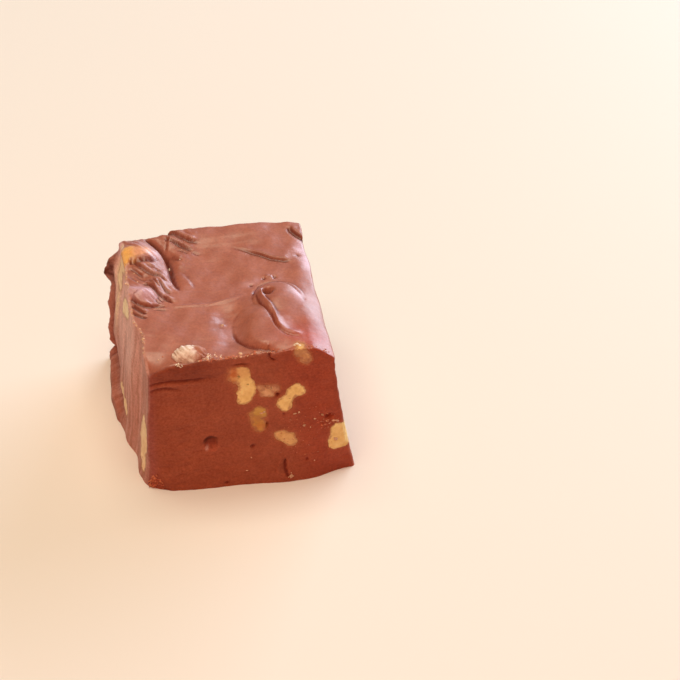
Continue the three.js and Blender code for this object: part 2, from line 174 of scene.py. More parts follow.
# Folds of the top. The layer on the left of a line's run ends there in a steep little step.
# Each has the points of the line, how deep the foot of the step is cut, how wide the step is,
# how high its lip stands, how far the lip reaches back, and the shares over which its ends fade.
FOLDS = [
    # two layers that come in from the back edge, with two short wrinkles in front of them
    ([(7.6, 52.6), (10.3, 50.5), (12.6, 49.3), (14.4, 47.7), (16.3, 46.2), (18.6, 45.4)],
     0.6, 0.55, 1.1, 2.2, (0.03, 0.25)),
    ([(9.6, 48.8), (10.4, 47.4), (11.8, 46.5), (13.3, 45.4), (14.8, 44.1), (16.4, 42.9)],
     0.6, 0.5, 1.0, 1.1, (0.2, 0.15)),
    ([(12.4, 44.0), (13.9, 43), (15.3, 42.2)], 0.35, 0.4, 0.5, 0.6, (0.3, 0.3)),
    ([(15.9, 43.0), (17, 42.1), (18.2, 41.6)], 0.2, 0.45, 0.35, 0.8, (0.3, 0.3)),
    # the left edge of the block beside the valley, and its front edge
    ([(9.9, 48.2), (10.1, 46.5), (9.7, 44.6), (9.3, 43.1)], 0.15, 0.4, 0.5, 1.4, (0.2, 0.3)),
    ([(9.4, 42.6), (10.9, 41.5), (12.3, 40.4), (13.8, 39.9)], 0.4, 0.5, 0.35, 1.1, (0.15, 0.35)),
    # the long fold on the right, and a short one across the back right corner
    ([(24.6, 44.3), (29, 42), (33, 39.6), (36.7, 37.2), (41, 35.7)], 0.42, 0.65, 0.7, 2.2, (0.5, 0.12)),
    ([(41.6, 49.6), (43, 47.2), (45.6, 44.4)], 0.8, 0.7, 0.5, 1.5, (0.25, 0.02)),
    # the hump at the back left hangs over its foot and runs out in wrinkles to the right
    ([(-0.3, 37.5), (0.8, 38.0), (1.9, 37.6), (3, 38), (4.5, 38.1), (6, 38.7), (7.2, 39.6)],
     0.7, 0.5, 1.2, 1.5, (0.1, 0.25)),
    ([(0.6, 38.0), (1.7, 36.9), (2.9, 35.6), (4.5, 34.4), (6.2, 33.3), (7.6, 32.4)],
     0.6, 0.42, 0.9, 0.9, (0.2, 0.2)),
    ([(-0.2, 36.2), (1.0, 35.2), (2.2, 34.1), (3.4, 33.3)], 0.35, 0.4, 0.5, 0.7, (0.2, 0.3)),
    ([(6.2, 33.7), (7.4, 32.8), (8.1, 31.7), (8.9, 30.3)], 0.45, 0.38, 0.7, 0.6, (0.25, 0.3)),
    ([(4.4, 36.6), (5.9, 35.8), (7.2, 34.9), (8.3, 33.8)], 0.3, 0.38, 0.5, 0.7, (0.3, 0.3)),
    ([(6.4, 31.7), (7.2, 29.9), (7.9, 28.4), (8.7, 27.3), (9.5, 26.3)], 0.5, 0.38, 0.8, 0.6, (0.25, 0.25)),
    ([(5.2, 32.6), (5.7, 30.9), (6.3, 29.3), (7, 27.9)], 0.4, 0.38, 0.65, 0.5, (0.3, 0.3)),
    ([(4.2, 32), (4.8, 30.8), (5.4, 29.2), (6.2, 27.9)], 0.35, 0.38, 0.5, 0.5, (0.3, 0.3)),
    ([(2.4, 30.2), (4.2, 29.7), (5.1, 28.8), (6.1, 26.8), (7.6, 25.1), (8.7, 24.2), (10.2, 22.7)],
     0.8, 0.45, 1.0, 0.8, (0.15, 0.2)),
    ([(6.0, 25.6), (6.8, 24.6), (7.7, 23.6)], 0.4, 0.36, 0.5, 0.4, (0.3, 0.3)),
    ([(7.4, 25.9), (8.3, 24.9), (9.3, 23.4)], 0.35, 0.34, 0.5, 0.4, (0.3, 0.3)),
    ([(5.4, 24.6), (6.1, 23.7), (6.9, 23.0)], 0.3, 0.34, 0.4, 0.4, (0.3, 0.3)),
    # a smooth patch bulges over two dark folds at the left edge
    ([(-0.6, 24.6), (0.6, 23.2), (1.8, 22.4), (4.0, 22.0), (6.2, 22.3), (8.2, 21.5)],
     0.6, 0.45, 0.8, 1.8, (0.05, 0.3)),
    ([(4.0, 21.3), (5.7, 20.9), (7.2, 20.5), (8.6, 20.3)], 0.25, 0.4, 0.35, 0.6, (0.2, 0.35)),
    ([(-0.4, 22.6), (0.6, 21.5), (1.8, 20.2), (3.4, 19.6)], 0.8, 0.5, 0.7, 0.9, (0.05, 0.3)),
    ([(-0.8, 20.4), (0.5, 19.3), (2.0, 18.4), (3.4, 18.1)], 0.7, 0.45, 0.4, 0.7, (0.05, 0.35)),
    # a smooth plate right of the valley, its edge facing right
    ([(16.1, 27.6), (14.8, 31.6), (13, 35.2), (10.4, 38.2)], 0.12, 1.0, 0.28, 2.2, (0.25, 0.25)),
]
FOLDS = [(smooth_line(points), *rest) for points, *rest in FOLDS]

VALLEY = smooth_line([(4, 49.6), (6.2, 47.1), (8, 44.2), (9.6, 40.8), (10.2, 37), (10.5, 32.7), (12.3, 26)])
RIDGE = smooth_line([(9, 21.9), (15.6, 21.4), (23.1, 22.5), (28.8, 24.8)])

# The swirl is one curl: its outer edge runs round the back of the knob from the right, turns
# down at the eye and runs out over the mound. A thin ridge follows inside the running-out part.
KNOB_X, KNOB_Y, KNOB_RADIUS = 36.0, 21.6, 6.4
CURL = smooth_line(
    [(42.2, 18.4), (41.4, 21.6), (39.2, 25.3), (36.2, 27.1), (33, 26.8), (31, 25.2), (30.6, 23),
     (31.2, 19.4), (32.6, 15.9), (33.5, 13.2), (34, 10.2), (35.2, 7.6), (37.4, 6), (40.4, 5.4)],
    60,
)
CURL_TURN = 0.47    # the share of the curl that lies round the knob
INNER_RIDGE = smooth_line(
    [(32.1, 24.8), (31.8, 22.4), (32.5, 19.6), (34, 16.2), (34.4, 13), (34.8, 9.6), (36.6, 7.2)], 40
)
EYE_X, EYE_Y, EYE_HALF_X, EYE_HALF_Y, EYE_DEPTH = 33.5, 23.1, 1.15, 1.1, 3.0
MOUND_X, MOUND_Y, MOUND_RADIUS = 33.8, 11.5, 10.1

# Broad, smooth lumps: x, y, half length in x, half length in y, rise
LUMPS = [
    (20, 33, 8, 9, -0.7),
    (2.4, 43.2, 4.2, 4.2, 1.6),
    (4.6, 41.4, 2.8, 1.6, 0.4),
    (4.8, 37.5, 3.4, 6.5, 1.3),
    (6.8, 30.5, 2.4, 3.5, 0.8),
    (1.4, 25.4, 3.2, 2.8, 1.4),
    (3.0, 33.0, 2.6, 2.2, -1.2),
    (2.4, 26.2, 3.4, 2.2, 0.6),
    (1.0, 49.8, 2.4, 2.4, -0.6),
    (4.2, 46.5, 2.6, 3.0, -0.4),
]
# Small bumps and pits of the skin
PIMPLES = [
    (33.2, 29.7, 0.45, 0.55, -0.5),
    (35.0, 29.9, 0.5, 0.5, 0.35),
    (35.9, 30.1, 0.45, 0.5, -0.5),
    (34.2, 30.6, 0.6, 0.6, 0.3),
    (29.8, 27.6, 0.6, 0.5, -0.35),
    (42.9, 38.4, 0.7, 0.6, -0.35),
    (21.2, 13.7, 0.6, 0.5, 0.35),
]


def fold_height(fold, x, y):
    line, cut, width, lip, reach, ends = fold
    distance, along = nearest(line, x, y)
    foot = -cut * bell(distance, 1.1 * width)
    layer = lip * np.exp(-np.maximum(distance, 0) / reach)
    step = np.where(distance < 0, foot, mix(-cut, layer, ramp(0, width, distance)))
    return fade(along, *ends) * step * (np.abs(distance) < 8)


def swirl_height(x, y):
    # the mound rises gently; only at the front left does it bulge over a crease
    from_mound = MOUND_RADIUS - np.hypot(x - MOUND_X, y - MOUND_Y)
    west = ramp(6, -4, x - MOUND_X)
    front_left = ramp(13, 3, y)
    height = mix(0.4, 1.2, west) * ramp(0, mix(5.0, 1.8, front_left * west), from_mound)
    height -= mix(0.12, 0.75, front_left) * bell(from_mound + 0.15, 0.5) * west * ramp(21, 16, y)

    # the knob is a dome with a steep back, and runs out smoothly to the front
    distance, along = nearest(CURL, x, y)
    from_knob = np.hypot(x - KNOB_X, y - KNOB_Y) / KNOB_RADIUS
    behind = ramp(-3.5, 2.5, y - KNOB_Y)
    round_knob = ramp(CURL_TURN + 0.06, CURL_TURN - 0.08, along)
    cap = np.sqrt(np.clip(1 - from_knob**2.2, 0, 1))
    height += mix(2.1 * ramp(1.05, 0.1, from_knob), 1.9 * cap, behind)
    height -= 0.45 * round_knob * bell(distance + 0.35, 0.45) * ramp(0, 0.1, along)

    # from the eye the edge runs out as a ribbon between a groove and a thin ridge
    running = ramp(CURL_TURN - 0.08, CURL_TURN + 0.04, along) * ramp(1, 0.93, along)
    height += running * (0.6 * bell(distance - 0.9, 0.8) - 0.42 * bell(distance + 0.1, 0.32))
    distance, along = nearest(INNER_RIDGE, x, y)
    height += fade(along, 0.06, 0.4) * (0.36 * bell(distance, 0.32) - 0.12 * bell(distance - 0.6, 0.4))
    eye = np.hypot((x - EYE_X) / EYE_HALF_X, (y - EYE_Y) / EYE_HALF_Y)
    return height - EYE_DEPTH * np.exp(-(eye**3)) + 0.25 * bell(eye - 1.35, 0.3) * ramp(0.3, -0.6, x - EYE_X)


def top_height(x, y):
    """The top as it is in the solids, with finer folds and the marks of the spatula."""
    height = HEIGHT + 0.1 * np.sin(0.5 * x + 0.35 * y) + 0.08 * np.sin(0.9 * x - 0.6 * y + 1)
    height += 0.9 * ramp(24, 30, x) * ramp(26, 10, y)
    height += 0.8 * ramp(41, 50, y) * ramp(10, 16, x) * (1 - 0.5 * ramp(38, 46, x))
    height += ramp(43, 49, y) * (0.9 * bell(x - 9.5, 3) + 0.3 * bell(x - 22, 12) - 0.3 * bell(x - 39.5, 3))
    height += 1.3 * ramp(9.5, -1, x) * ramp(22.5, 27.5, y)
    for lump_x, lump_y, length_x, length_y, rise in LUMPS + PIMPLES:
        height += rise * bell(x - lump_x, length_x) * bell(y - lump_y, length_y)
    # the valley beside the hump is steep on the hump's side and opens out to the right
    distance, along = nearest(VALLEY, x, y)
    width = np.where(distance > 0, mix(2.4, 1.3, along), 0.8)
    height -= 2.4 * (1 - 0.75 * along) * fade(along, 0.4, 0.15) * bell(distance, width)
    height -= 2.6 * (1 - 0.6 * along) * fade(along, 0.15, 0.2) * bell(distance, 0.6)
    height -= 1.1 * bell(x - 22.6, 3.4) * ramp(1, 8, y) * ramp(23, 16, y)
    height += swirl_height(x, y)
    for fold in FOLDS:
        height += fold_height(fold, x, y)
    distance, along = nearest(RIDGE, x, y)
    height += 0.3 * bell(distance, 0.45) * fade(along, 0.15, 0.25)
    height -= 3.2 * np.clip((x - 41.5) / 6, 0, 1) ** 1.7 * (1 - 0.4 * ramp(20, 34, y) - 0.5 * ramp(43, 49, y))
    # the front left corner is worn down
    height -= CORNER_DROP * np.exp(-np.sqrt((x - 1) ** 2 + ((y - 0.6) / 0.8) ** 2 + 0.2) / 2.8)
    return height + top_relief(x, y)


def top_relief(x, y):
    # faint flow lines that follow the sweep of the spatula
    sweep = y + 0.12 * (x - 18) + 1.5 * np.sin(0.12 * x)
    lines = 0.04 * flat_noise(x, sweep, (14, 0.9), 3) * ramp(40, 30, x)
    soft = 0.09 * flat_noise(x, y, (5, 5), 5) + 0.035 * flat_noise(x, y, (1.6, 1.6), 7)
    # finer wrinkles on the folded part at the back left
    folded = ramp(13, 9, x - 0.35 * (y - 30)) * ramp(19, 23, y)
    run = 0.75 * x + 0.66 * y
    across = 0.75 * y - 0.66 * x
    wrinkles = 0.2 * folded * flat_noise(run, across, (0.8, 4.5), 8, 3)
    # the cut edges fray upwards a little
    front_rim = ramp(13, 18, x) * ramp(34, 30, x) * ramp(2.2, 0.5, y)
    fray = 0.34 * front_rim * flat_noise(x, y, (1.1, 0.8), 9, 3)
    notch = -0.7 * bell(x - 32.2, 0.5) * ramp(1.2, 0.2, y)
    return lines + soft + wrinkles + fray + notch


# ---------- The four sides ----------
def up_share(z):
    return np.clip(z / 40, 0, 1)


def left_side(y, z):
    top_edge = 1.2 - 2.4 * ramp(10.5, 19, y) - 0.4 * ramp(24, 34, y)
    corner = 1.4 * ramp(45, 50, y) * ramp(0, 38, z)
    belly = 1.3 * ramp(40, 46, y) * ramp(5, 14, z) * ramp(39, 32, z)
    # near the front the side stands upright and flares out at its foot, further back it leans
    spread = SPREAD_LEFT + 0.8 * ramp(1.5, 5, y) + 0.2 * ramp(16, 30, y)
    lean = spread * (1 - up_share(z)) ** mix(2.8, 1.1, ramp(2, 16, y))
    foot = FOOT_WIDTH * ramp(18, 28, y) + 0.5 * ramp(23.5, 25.5, y) - 0.9 * ramp(47.5, 48.5, y)
    foot *= ramp(FOOT_HEIGHT, FOOT_HEIGHT - 2.2, z)
    foot -= 0.6 * bell(z - FOOT_HEIGHT - 0.3, 0.7) * ramp(22, 27, y)
    groove = 0.9 * bell(y - GROOVE_Y, 0.7) * ramp(36, 30, z)
    lip = (0.3 + 0.8 * bell(z - 8.5, 4) + 0.75 * bell(z - 20, 3.5)) * ramp(48, 49, y) * ramp(38, 33, z)
    lump = 2.3 * bell(y - LUMP_Y, 2.0) * np.exp(-np.abs((z - LUMP_Z) / 4.3) ** 4)
    waves = 0.18 * np.sin(0.23 * z + 0.31 * y) + 0.12 * np.sin(0.7 * y + 0.5)
    return top_edge - corner - belly - lean - foot + groove - lip - lump + waves - left_relief(y, z)


def drag_lines(y, z):
    """The y that a drag mark of the left side started from: the marks wander a little."""
    return y + 0.6 * np.sin(0.21 * z) + 0.25 * flat_noise(y, z, (6, 6), 21)


def left_relief(y, z):
    across = drag_lines(y, z)
    broad = 0.1 * flat_noise(across, z, (2.3, 18), 23)
    fine = 0.055 * flat_noise(across, z, (0.8, 4), 25, 3) + 0.05 * flat_noise(y, z, (0.7, 1.1), 26)
    crags = 0.3 * np.maximum(flat_noise(y, z, (1.1, 1.4), 27, 3), 0) * ramp(45, 49, y)
    on_lump = bell(y - LUMP_Y, 2.0) * bell(z - LUMP_Z, 4)
    return (broad + fine) * ramp(2, 8, z) + crags + 0.26 * on_lump * flat_noise(y, z, (0.9, 0.9), 28, 3)


def right_side(y, z):
    spread = (SPREAD_RIGHT - 0.8 * ramp(10, 50, y)) * (1 - np.clip(z / 38, 0, 1)) ** 1.35
    marks = 0.09 * flat_noise(y, z + 0.2 * y, (9, 1.3), 31) + 0.05 * flat_noise(y, z, (4, 0.6), 33)
    return WIDTH - 0.05 * y + 0.15 * ramp(43, 50, y) + spread + 0.15 * np.sin(0.4 * y) + marks


BUBBLE_X, BUBBLE_Z, BUBBLE_HALF_X, BUBBLE_HALF_Z, BUBBLE_DEPTH = 16.4, 13.7, 1.9, 2.4, 1.2
# Small holes and hollows of the front face: x, z, half width, half height, depth
PITS = [
    (26.7, 12.2, 0.5, 0.4, 0.6),
    (40.5, 6.4, 0.4, 0.35, 0.55),
    (33.2, 27.7, 0.5, 0.4, 0.8),
    (30.5, 18.1, 0.3, 0.85, 1.0),
    (46.2, 18.9, 1.2, 0.8, 0.8),
    (44.2, 19.9, 0.5, 0.4, 0.4),
    (20.0, 1.3, 0.4, 0.3, 0.4),
    (25.2, 4.2, 0.3, 0.3, 0.3),
    (24.5, 37.9, 1.9, 0.28, 0.45),
    (9.2, 29.8, 0.3, 0.25, 0.25),
    (34.8, 21.4, 0.5, 0.3, 0.3),
]
UPPER_CREASE = smooth_line([(0.8, 32.7), (3.5, 33.8), (8.4, 34.4), (12.1, 34.3), (15.9, 34.5), (21.1, 34.9)])
LOWER_CREASE = smooth_line([(1.0, 30.6), (3.2, 31.9), (6.0, 32.2), (8.6, 31.5), (10.6, 30.6)])
SMEAR_LINE = smooth_line([(0.8, 5.3), (4.4, 4.9), (7.4, 4.4), (10.6, 3.9), (13.5, 3.2)])
SLIT = smooth_line([(35.3, 7.4), (35.3, 5), (35.6, 2.6), (36.4, 0.8)])
TEAR = smooth_line([(31.4, 41.6), (31.5, 39.4), (32.7, 38.5), (34, 38.1)])


def from_bubble(x, z):
    """Distance from the middle of the bubble, 1 at its rim."""
    return np.hypot((x - BUBBLE_X) / BUBBLE_HALF_X, (z - BUBBLE_Z) / BUBBLE_HALF_Z)


def front_relief(x, z):
    """How far the knife-cut front stands out from its smooth shape."""
    bend = z + 0.5 * np.sin(0.22 * x + 1) + 0.35 * flat_noise(x, z, (5, 5), 41)
    strength = 0.4 + 0.75 * ramp(24, 10, x) + 0.4 * ramp(16, 8, z)
    marks = 0.07 * flat_noise(x, bend, (4.5, 0.8), 43) + 0.045 * flat_noise(x, bend, (2.2, 0.4), 45)
    relief = strength * marks + 0.14 * flat_noise(x, z, (9, 7), 47) + 0.03 * flat_noise(x, z, (0.9, 0.9), 48)

    # the layer over the upper crease hangs out a little
    relief += 0.55 * ramp(34.4, 38.5, z) * ramp(1, 5, x) * ramp(24, 17, x)
    for line, cut, width in ((UPPER_CREASE, 0.4, 0.42), (LOWER_CREASE, 0.28, 0.36)):
        distance, along = nearest(line, x, z)
        relief -= cut * bell(distance, width) * fade(along, 0.06, 0.5)
        relief += 0.45 * cut * bell(distance + 0.9, 0.6) * fade(along, 0.06, 0.5)
    distance, along = nearest(SMEAR_LINE, x, z)
    broken = ramp(-0.3, 0.5, flat_noise(x, z, (1.2, 1.2), 49))
    relief += 0.26 * bell(distance, 0.3) * fade(along, 0.1, 0.2) * broken

    bubble = from_bubble(x, z)
    relief -= BUBBLE_DEPTH * np.clip(1 - bubble**2.2, 0, 1)
    relief += 0.1 * bell(bubble - 1.08, 0.12)
    for pit_x, pit_z, half_x, half_z, depth in PITS:
        relief -= depth * np.exp(-((((x - pit_x) / half_x) ** 2 + ((z - pit_z) / half_z) ** 2) ** 1.5))
    distance, along = nearest(SLIT, x, z)
    # the slit is steep on its left and opens to the right, where a thin flap stands up
    opening = 0.15 + 2.1 * np.sin(np.pi * along**0.8)
    shut = np.where(distance > 0, ramp(0.3, 0, -distance), np.clip(1 + distance / opening, 0, 1) ** 1.5)
    within = fade(along, 0.12, 0.15) * (np.abs(distance) < 3)
    relief -= 1.0 * np.where(distance > 0, 0, shut * ramp(0, 0.25, -distance)) * within
    relief += 0.22 * bell(distance + opening + 0.1, 0.25) * within
    # a tear runs down from the top edge
    distance, along = nearest(TEAR, x, z)
    return relief - 0.6 * bell(distance, 0.28) * ramp(0.9, 0.5, along)


def front_side(x, z):
    middle = ramp(-4, 7, x) * ramp(53, 40, x)
    plain = 0.6 - SPREAD_FRONT * middle * (1 - up_share(z)) ** 1.5 + 0.15 * np.sin(0.33 * x + 0.2 * z)
    return plain - front_relief(x, z)


def back_side(x, z):
    top_edge = DEPTH - 2.9 + 3.4 * ramp(-4, 24, x) - 0.9 * ramp(36, 46, x)
    marks = 0.08 * flat_noise(x, z + 0.15 * x, (8, 1.1), 51) + 0.05 * flat_noise(x, z, (3, 0.6), 53)
    swell = 0.15 * flat_noise(x, z, (8, 6), 55)
    return top_edge + SPREAD_BACK * (1 - up_share(z)) ** 1.3 + marks + swell


# ---------- From a plain box to the slumped block ----------
BOX = np.array([50.0, 51.0, 40.0])
EDGE_RADIUS = 0.8
SETTLING_STEPS = 4
# Where the grid lines lie closer together: middle, half length, how much closer
DENSER = (
    [(0, 2, 0.8), (5, 6, 0.7), (36, 9, 0.4), (50, 1.5, 0.6)],
    [(0, 2, 1.0), (26, 18, 0.5), (51, 1.5, 0.4)],
    [(0, 1.5, 0.4), (40, 3, 1.2)],
)


def edge_radius(x, y, z):
    down = BOX[2] - z
    behind = BOX[1] - y
    radius = EDGE_RADIUS * np.ones_like(x)
    radius += 0.8 * bell(x - 2, 5) * bell(y, 3) * bell(down, 4)
    radius += 1.8 * bell(x, 5) * bell(y, 5) * bell(z, 7)
    radius += 0.84 * bell(x, 6) * bell(behind, 6) * bell(down, 8)
    radius += 0.6 * bell(behind, 4) * bell(down, 4) * ramp(40, 30, x)
    # the knife leaves the other edges sharper
    radius -= 0.4 * ramp(5, 1, y) * ramp(8, 14, x) * ramp(30, 36, z)
    return radius - 0.45 * ramp(40, 48, x) * ramp(6, 2, behind) * ramp(30, 36, z)


def round_edges(points):
    """Pulls the edges of the plain box in to their radius; the base keeps a sharp one."""
    radius = edge_radius(*points.T)
    core = np.clip(points, np.stack([radius, radius, 0 * radius], axis=1), BOX - radius[:, None])
    out = points - core
    length = np.linalg.norm(out, axis=1)
    share = np.where(length > 1e-9, np.abs(out).max(1) / np.maximum(length, 1e-9), 0)
    return core + out * share[:, None]


def settle(points):
    """Moves points of the plain box to their places on the real block."""
    x, y, z = round_edges(points).T
    across, back, up = x / BOX[0], y / BOX[1], z / BOX[2]
    for _ in range(SETTLING_STEPS):
        z = top_height(x, y) * up
        x = mix(left_side(y, z), right_side(y, z), across)
        y = mix(front_side(x, z), back_side(x, z), back)
    return np.stack([x, y, z], axis=1)


def grid_steps(count, length, spots):
    """Places of the grid lines from 0 to length, closer together at the spots."""
    fine = np.linspace(0, length, 2001)
    density = 1 + sum(extra * bell(fine - middle, half) for middle, half, extra in spots)
    total = np.concatenate([[0], np.cumsum((density[1:] + density[:-1]) / 2)])
    return np.interp(np.linspace(0, total[-1], count + 1), total, fine)


def box_grid(counts):
    """The plain box: its vertices, the four-sided faces of five sides, and the rim of the base."""
    steps = [grid_steps(*each) for each in zip(counts, BOX, DENSER)]
    outer = np.zeros([count + 1 for count in counts], bool)
    for axis in range(2):
        np.moveaxis(outer, axis, 0)[[0, -1]] = True
    outer[:, :, -1] = True
    number = np.full(outer.shape, -1)
    number[outer] = np.arange(outer.sum())
    i, j, k = np.nonzero(outer)
    vertices = np.stack([steps[0][i], steps[1][j], steps[2][k]], axis=1)
    faces = []
    for axis, end in ((0, 0), (0, -1), (1, 0), (1, -1), (2, -1)):
        sheet = np.take(number, end, axis=axis)
        corners = [sheet[:-1, :-1], sheet[1:, :-1], sheet[1:, 1:], sheet[:-1, 1:]]
        if (axis == 1) != (end == 0):
            corners.reverse()
        faces.append(np.stack([c.ravel() for c in corners], axis=1))
    base = number[:, :, 0]
    rim = np.concatenate([base[:-1, 0], base[-1, :-1], base[:0:-1, -1], base[0, :0:-1]])
    return vertices, np.vstack(faces), rim[::-1]


def vertex_normals(vertices, faces):
    a, b, c, d = vertices[faces.T]
    face_normals = np.cross(c - a, d - b)
    normals = np.zeros_like(vertices)
    for k in range(4):
        np.add.at(normals, faces[:, k], face_normals)
    return normals / np.maximum(np.linalg.norm(normals, axis=1), 1e-12)[:, None]


def neighbour_mean(values, faces):
    """For each vertex, the mean of the values of the vertices that it shares an edge with."""
    total = np.zeros_like(values)
    count = np.zeros(len(values))
    for k in range(4):
        for other in (k - 1, (k + 1) % 4):
            np.add.at(total, faces[:, k], values[faces[:, other]])
            np.add.at(count, faces[:, k], 1)
    count = np.maximum(count, 1)
    return total / (count[:, None] if values.ndim == 2 else count)


def hollowness(vertices, faces, normals):
    """How hollow (positive) or ridged (negative) the surface is at each vertex, in mm."""
    smooth = vertices
    for _ in range(3):
        smooth = neighbour_mean(smooth, faces)
    hollow = ((smooth - vertices) * normals).sum(1)
    return neighbour_mean(hollow, faces)


# ---------- Walnut lobes ----------
# An egg-shaped lobe: its middle, its half lengths, the axis that it is tipped about, the tip
# in degrees, and how brown it is: 0 is the pale flesh of a cut, 1 the skin.
MIDDLE_DEPTH = 1.3
HALF_THICKNESS = 2.6
WIDER = 1.1      # the middle of a lobe is this much wider than what shows on the cut
MELTING = 1.7    # how far lobes reach for each other
LEFT_OVERHANG = 2.0    # about how far the left side stands out past x = 0


def flush_with(side, relief, axis, inward):
    """Makes the function that places a lobe in a cut side, its middle just under the smooth surface."""

    def place(a, b, half_a, half_b, tip=0, brown=0.0):
        middle, half = [a, b], [WIDER * half_a, WIDER * half_b]
        middle.insert(axis, at(side, a, b) + at(relief, a, b) + inward * MIDDLE_DEPTH)
        half.insert(axis, HALF_THICKNESS)
        return (middle, half, "XY"[axis], tip, brown)

    return place


def no_relief(a, b):
    return 0 * a


on_front = flush_with(front_side, front_relief, 1, 1)
on_back = flush_with(back_side, no_relief, 1, -1)
on_left = flush_with(left_side, left_relief, 0, 1)
on_right = flush_with(right_side, no_relief, 0, -1)


def loose(middle, half, brown=0.0):
    return (middle, half, "Y", 0, brown)


# Colours of walnut flesh
CREAM = linear(255, 218, 142)
PALE = linear(252, 220, 174)
PALEST = linear(255, 230, 182)
AMBER = linear(234, 186, 122)
OLIVE = linear(212, 170, 80)
UNDER_SMEAR = linear(228, 176, 130)

# name: lobes, how much fudge is smeared over it (0 to 1), flesh colour
WALNUTS = {
    "walnut_front_upper": (
        [
            on_front(22.4, 34.4, 1.9, 2.5, 0, 1.0), on_front(24.8, 35.4, 1.9, 2.1, 15, 0.35),
            on_front(25.0, 32.4, 2.0, 2.6), on_front(25.9, 29.6, 2.4, 2.4),
            on_front(25.2, 27.2, 2.2, 2.3),
        ],
        0.1, CREAM,
    ),
    "walnut_front_smear": (
        [
            on_front(30.8, 28.6, 1.9, 1.5, 10), on_front(29, 30, 1.3, 1.0, 45),
            on_front(32.4, 29.9, 1.2, 1.2, -25),
        ],
        0.55, UNDER_SMEAR,
    ),
    "walnut_front_slanting": (
        [
            on_front(38.3, 28.6, 2.2, 1.8, 15), on_front(36.7, 27.2, 1.7, 1.5, -45),
            on_front(34.8, 25.3, 2.1, 1.8, -15), on_front(35.2, 23.8, 1.4, 1.5),
        ],
        0.12, CREAM,
    ),
    "walnut_front_olive": (
        [
            on_front(28.0, 22.3, 1.7, 2.0, 0, 0.1), on_front(29.3, 21.6, 1.3, 1.3),
            on_front(27.8, 20.0, 1.3, 1.9, 0, 0.4), on_front(28.8, 17.9, 1.4, 1.9, 20, 0.5),
        ],
        0.45, OLIVE,
    ),
    "walnut_front_lower": (
        [on_front(34.4, 14.5, 2.5, 1.9, 15), on_front(36.3, 12.9, 2.0, 1.8, 35)], 0.25, AMBER,
    ),
    "walnut_front_edge": (
        [
            loose((48.6, 1.0, 13.4), (2.5, 3, 2.7)), loose((50.2, 1.4, 11.4), (2.5, 3, 3.6)),
            loose((48.0, 0.9, 10.4), (2.7, 3, 2.9)),
        ],
        0.04, CREAM,
    ),
    "walnut_top_edge": (
        [loose((40.3, 1.7, 38.3), (1.5, 2.4, 2.2), 0.3), loose((39.0, 1.7, 40.5), (1.5, 2, 1.7))],
        0.65, AMBER,
    ),
    "walnut_left_corner": (
        [loose((0.5, 42, 38.8), (4.2, 3.7, 3.1)), on_left(43, 33.5, 1.9, 5.2)], 0.3, PALE,
    ),
    "walnut_left_upper": (
        [
            on_left(25.4, 37, 2.8, 2.4, -38), on_left(29.6, 34, 3.6, 3, -38),
            on_left(34.6, 30.8, 3.8, 2.2, -35),
        ],
        0.05, PALEST,
    ),
    "walnut_left_streak": ([on_left(24, 7, 4.4, 2.6), on_left(28.6, 6.8, 3.4, 2.2)], 0.1, PALE),
    "walnut_left_edge": (
        [
            on_left(5.4, 14.6, 3.8, 3.2, 20), on_left(5.6, 11, 3.8, 3),
            on_left(5.0, 7, 2.2, 2), on_left(3.2, 4.2, 1.2, 2.4),
        ],
        0.1, PALE,
    ),
    "walnut_right_middle": (
        [on_right(17, 24, 3.1, 2.2, 20), on_right(20.2, 22.4, 2.2, 1.9, 0, 0.5)], 0.2, CREAM,
    ),
    "walnut_right_lower": ([on_right(31, 12, 2.4, 2.9)], 0.35, AMBER),
    "walnut_right_back": ([on_right(42.5, 27, 2.6, 1.9, -30), on_right(40.6, 29.4, 1.9, 1.9)], 0.3, CREAM),
    "walnut_back_upper": ([on_back(33, 29.5, 3, 2.1, 20), on_back(30.2, 27.8, 2.2, 2.3, 0, 0.6)], 0.2, CREAM),
    "walnut_back_middle": ([on_back(17.5, 18.5, 2.2, 3.1, 10)], 0.4, AMBER),
    "walnut_back_lower": ([on_back(39.5, 11, 2.7, 2, -15)], 0.2, CREAM),
}
DOME = loose((12.2, 3, 40), (4.5, 2.9, 2.7))


def lobe_distance(points, lobe):
    """About how far each point lies outside the lobe; negative inside it."""
    middle, half, axis, tip, _ = lobe
    x, y, z = (points - np.array(middle)).T
    cos, sin = math.cos(math.radians(tip)), math.sin(math.radians(tip))
    if axis == "Y":
        x, z = x * cos - z * sin, x * sin + z * cos
    else:
        y, z = y * cos + z * sin, z * cos - y * sin
    local = np.stack([x, y, z], axis=1)
    shares = np.linalg.norm(local / half, axis=1)
    steepness = np.linalg.norm(local / np.square(half), axis=1)
    return shares * (shares - 1) / np.maximum(steepness, 1e-6)


def walnut_distance(points, lobes, seed):
    """Distance outside a walnut piece: its lobes melt together and its surface is knobbly."""
    whole = lobe_distance(points, lobes[0])
    for lobe in lobes[1:]:
        other = lobe_distance(points, lobe)
        melt = np.maximum(MELTING - np.abs(whole - other), 0)
        whole = np.minimum(whole, other) - melt**2 / (4 * MELTING)
    return whole + 0.36 * even_noise(points, 1.7, seed) + 0.16 * even_noise(points, 0.8, seed + 5)


def brownness(points, lobes):
    """How brown each point of a walnut is, blended between its lobes."""
    weights = np.exp(-1.6 * np.array([lobe_distance(points, lobe) for lobe in lobes]))
    browns = np.array([lobe[4] for lobe in lobes])
    return (weights * browns[:, None]).sum(0) / weights.sum(0)


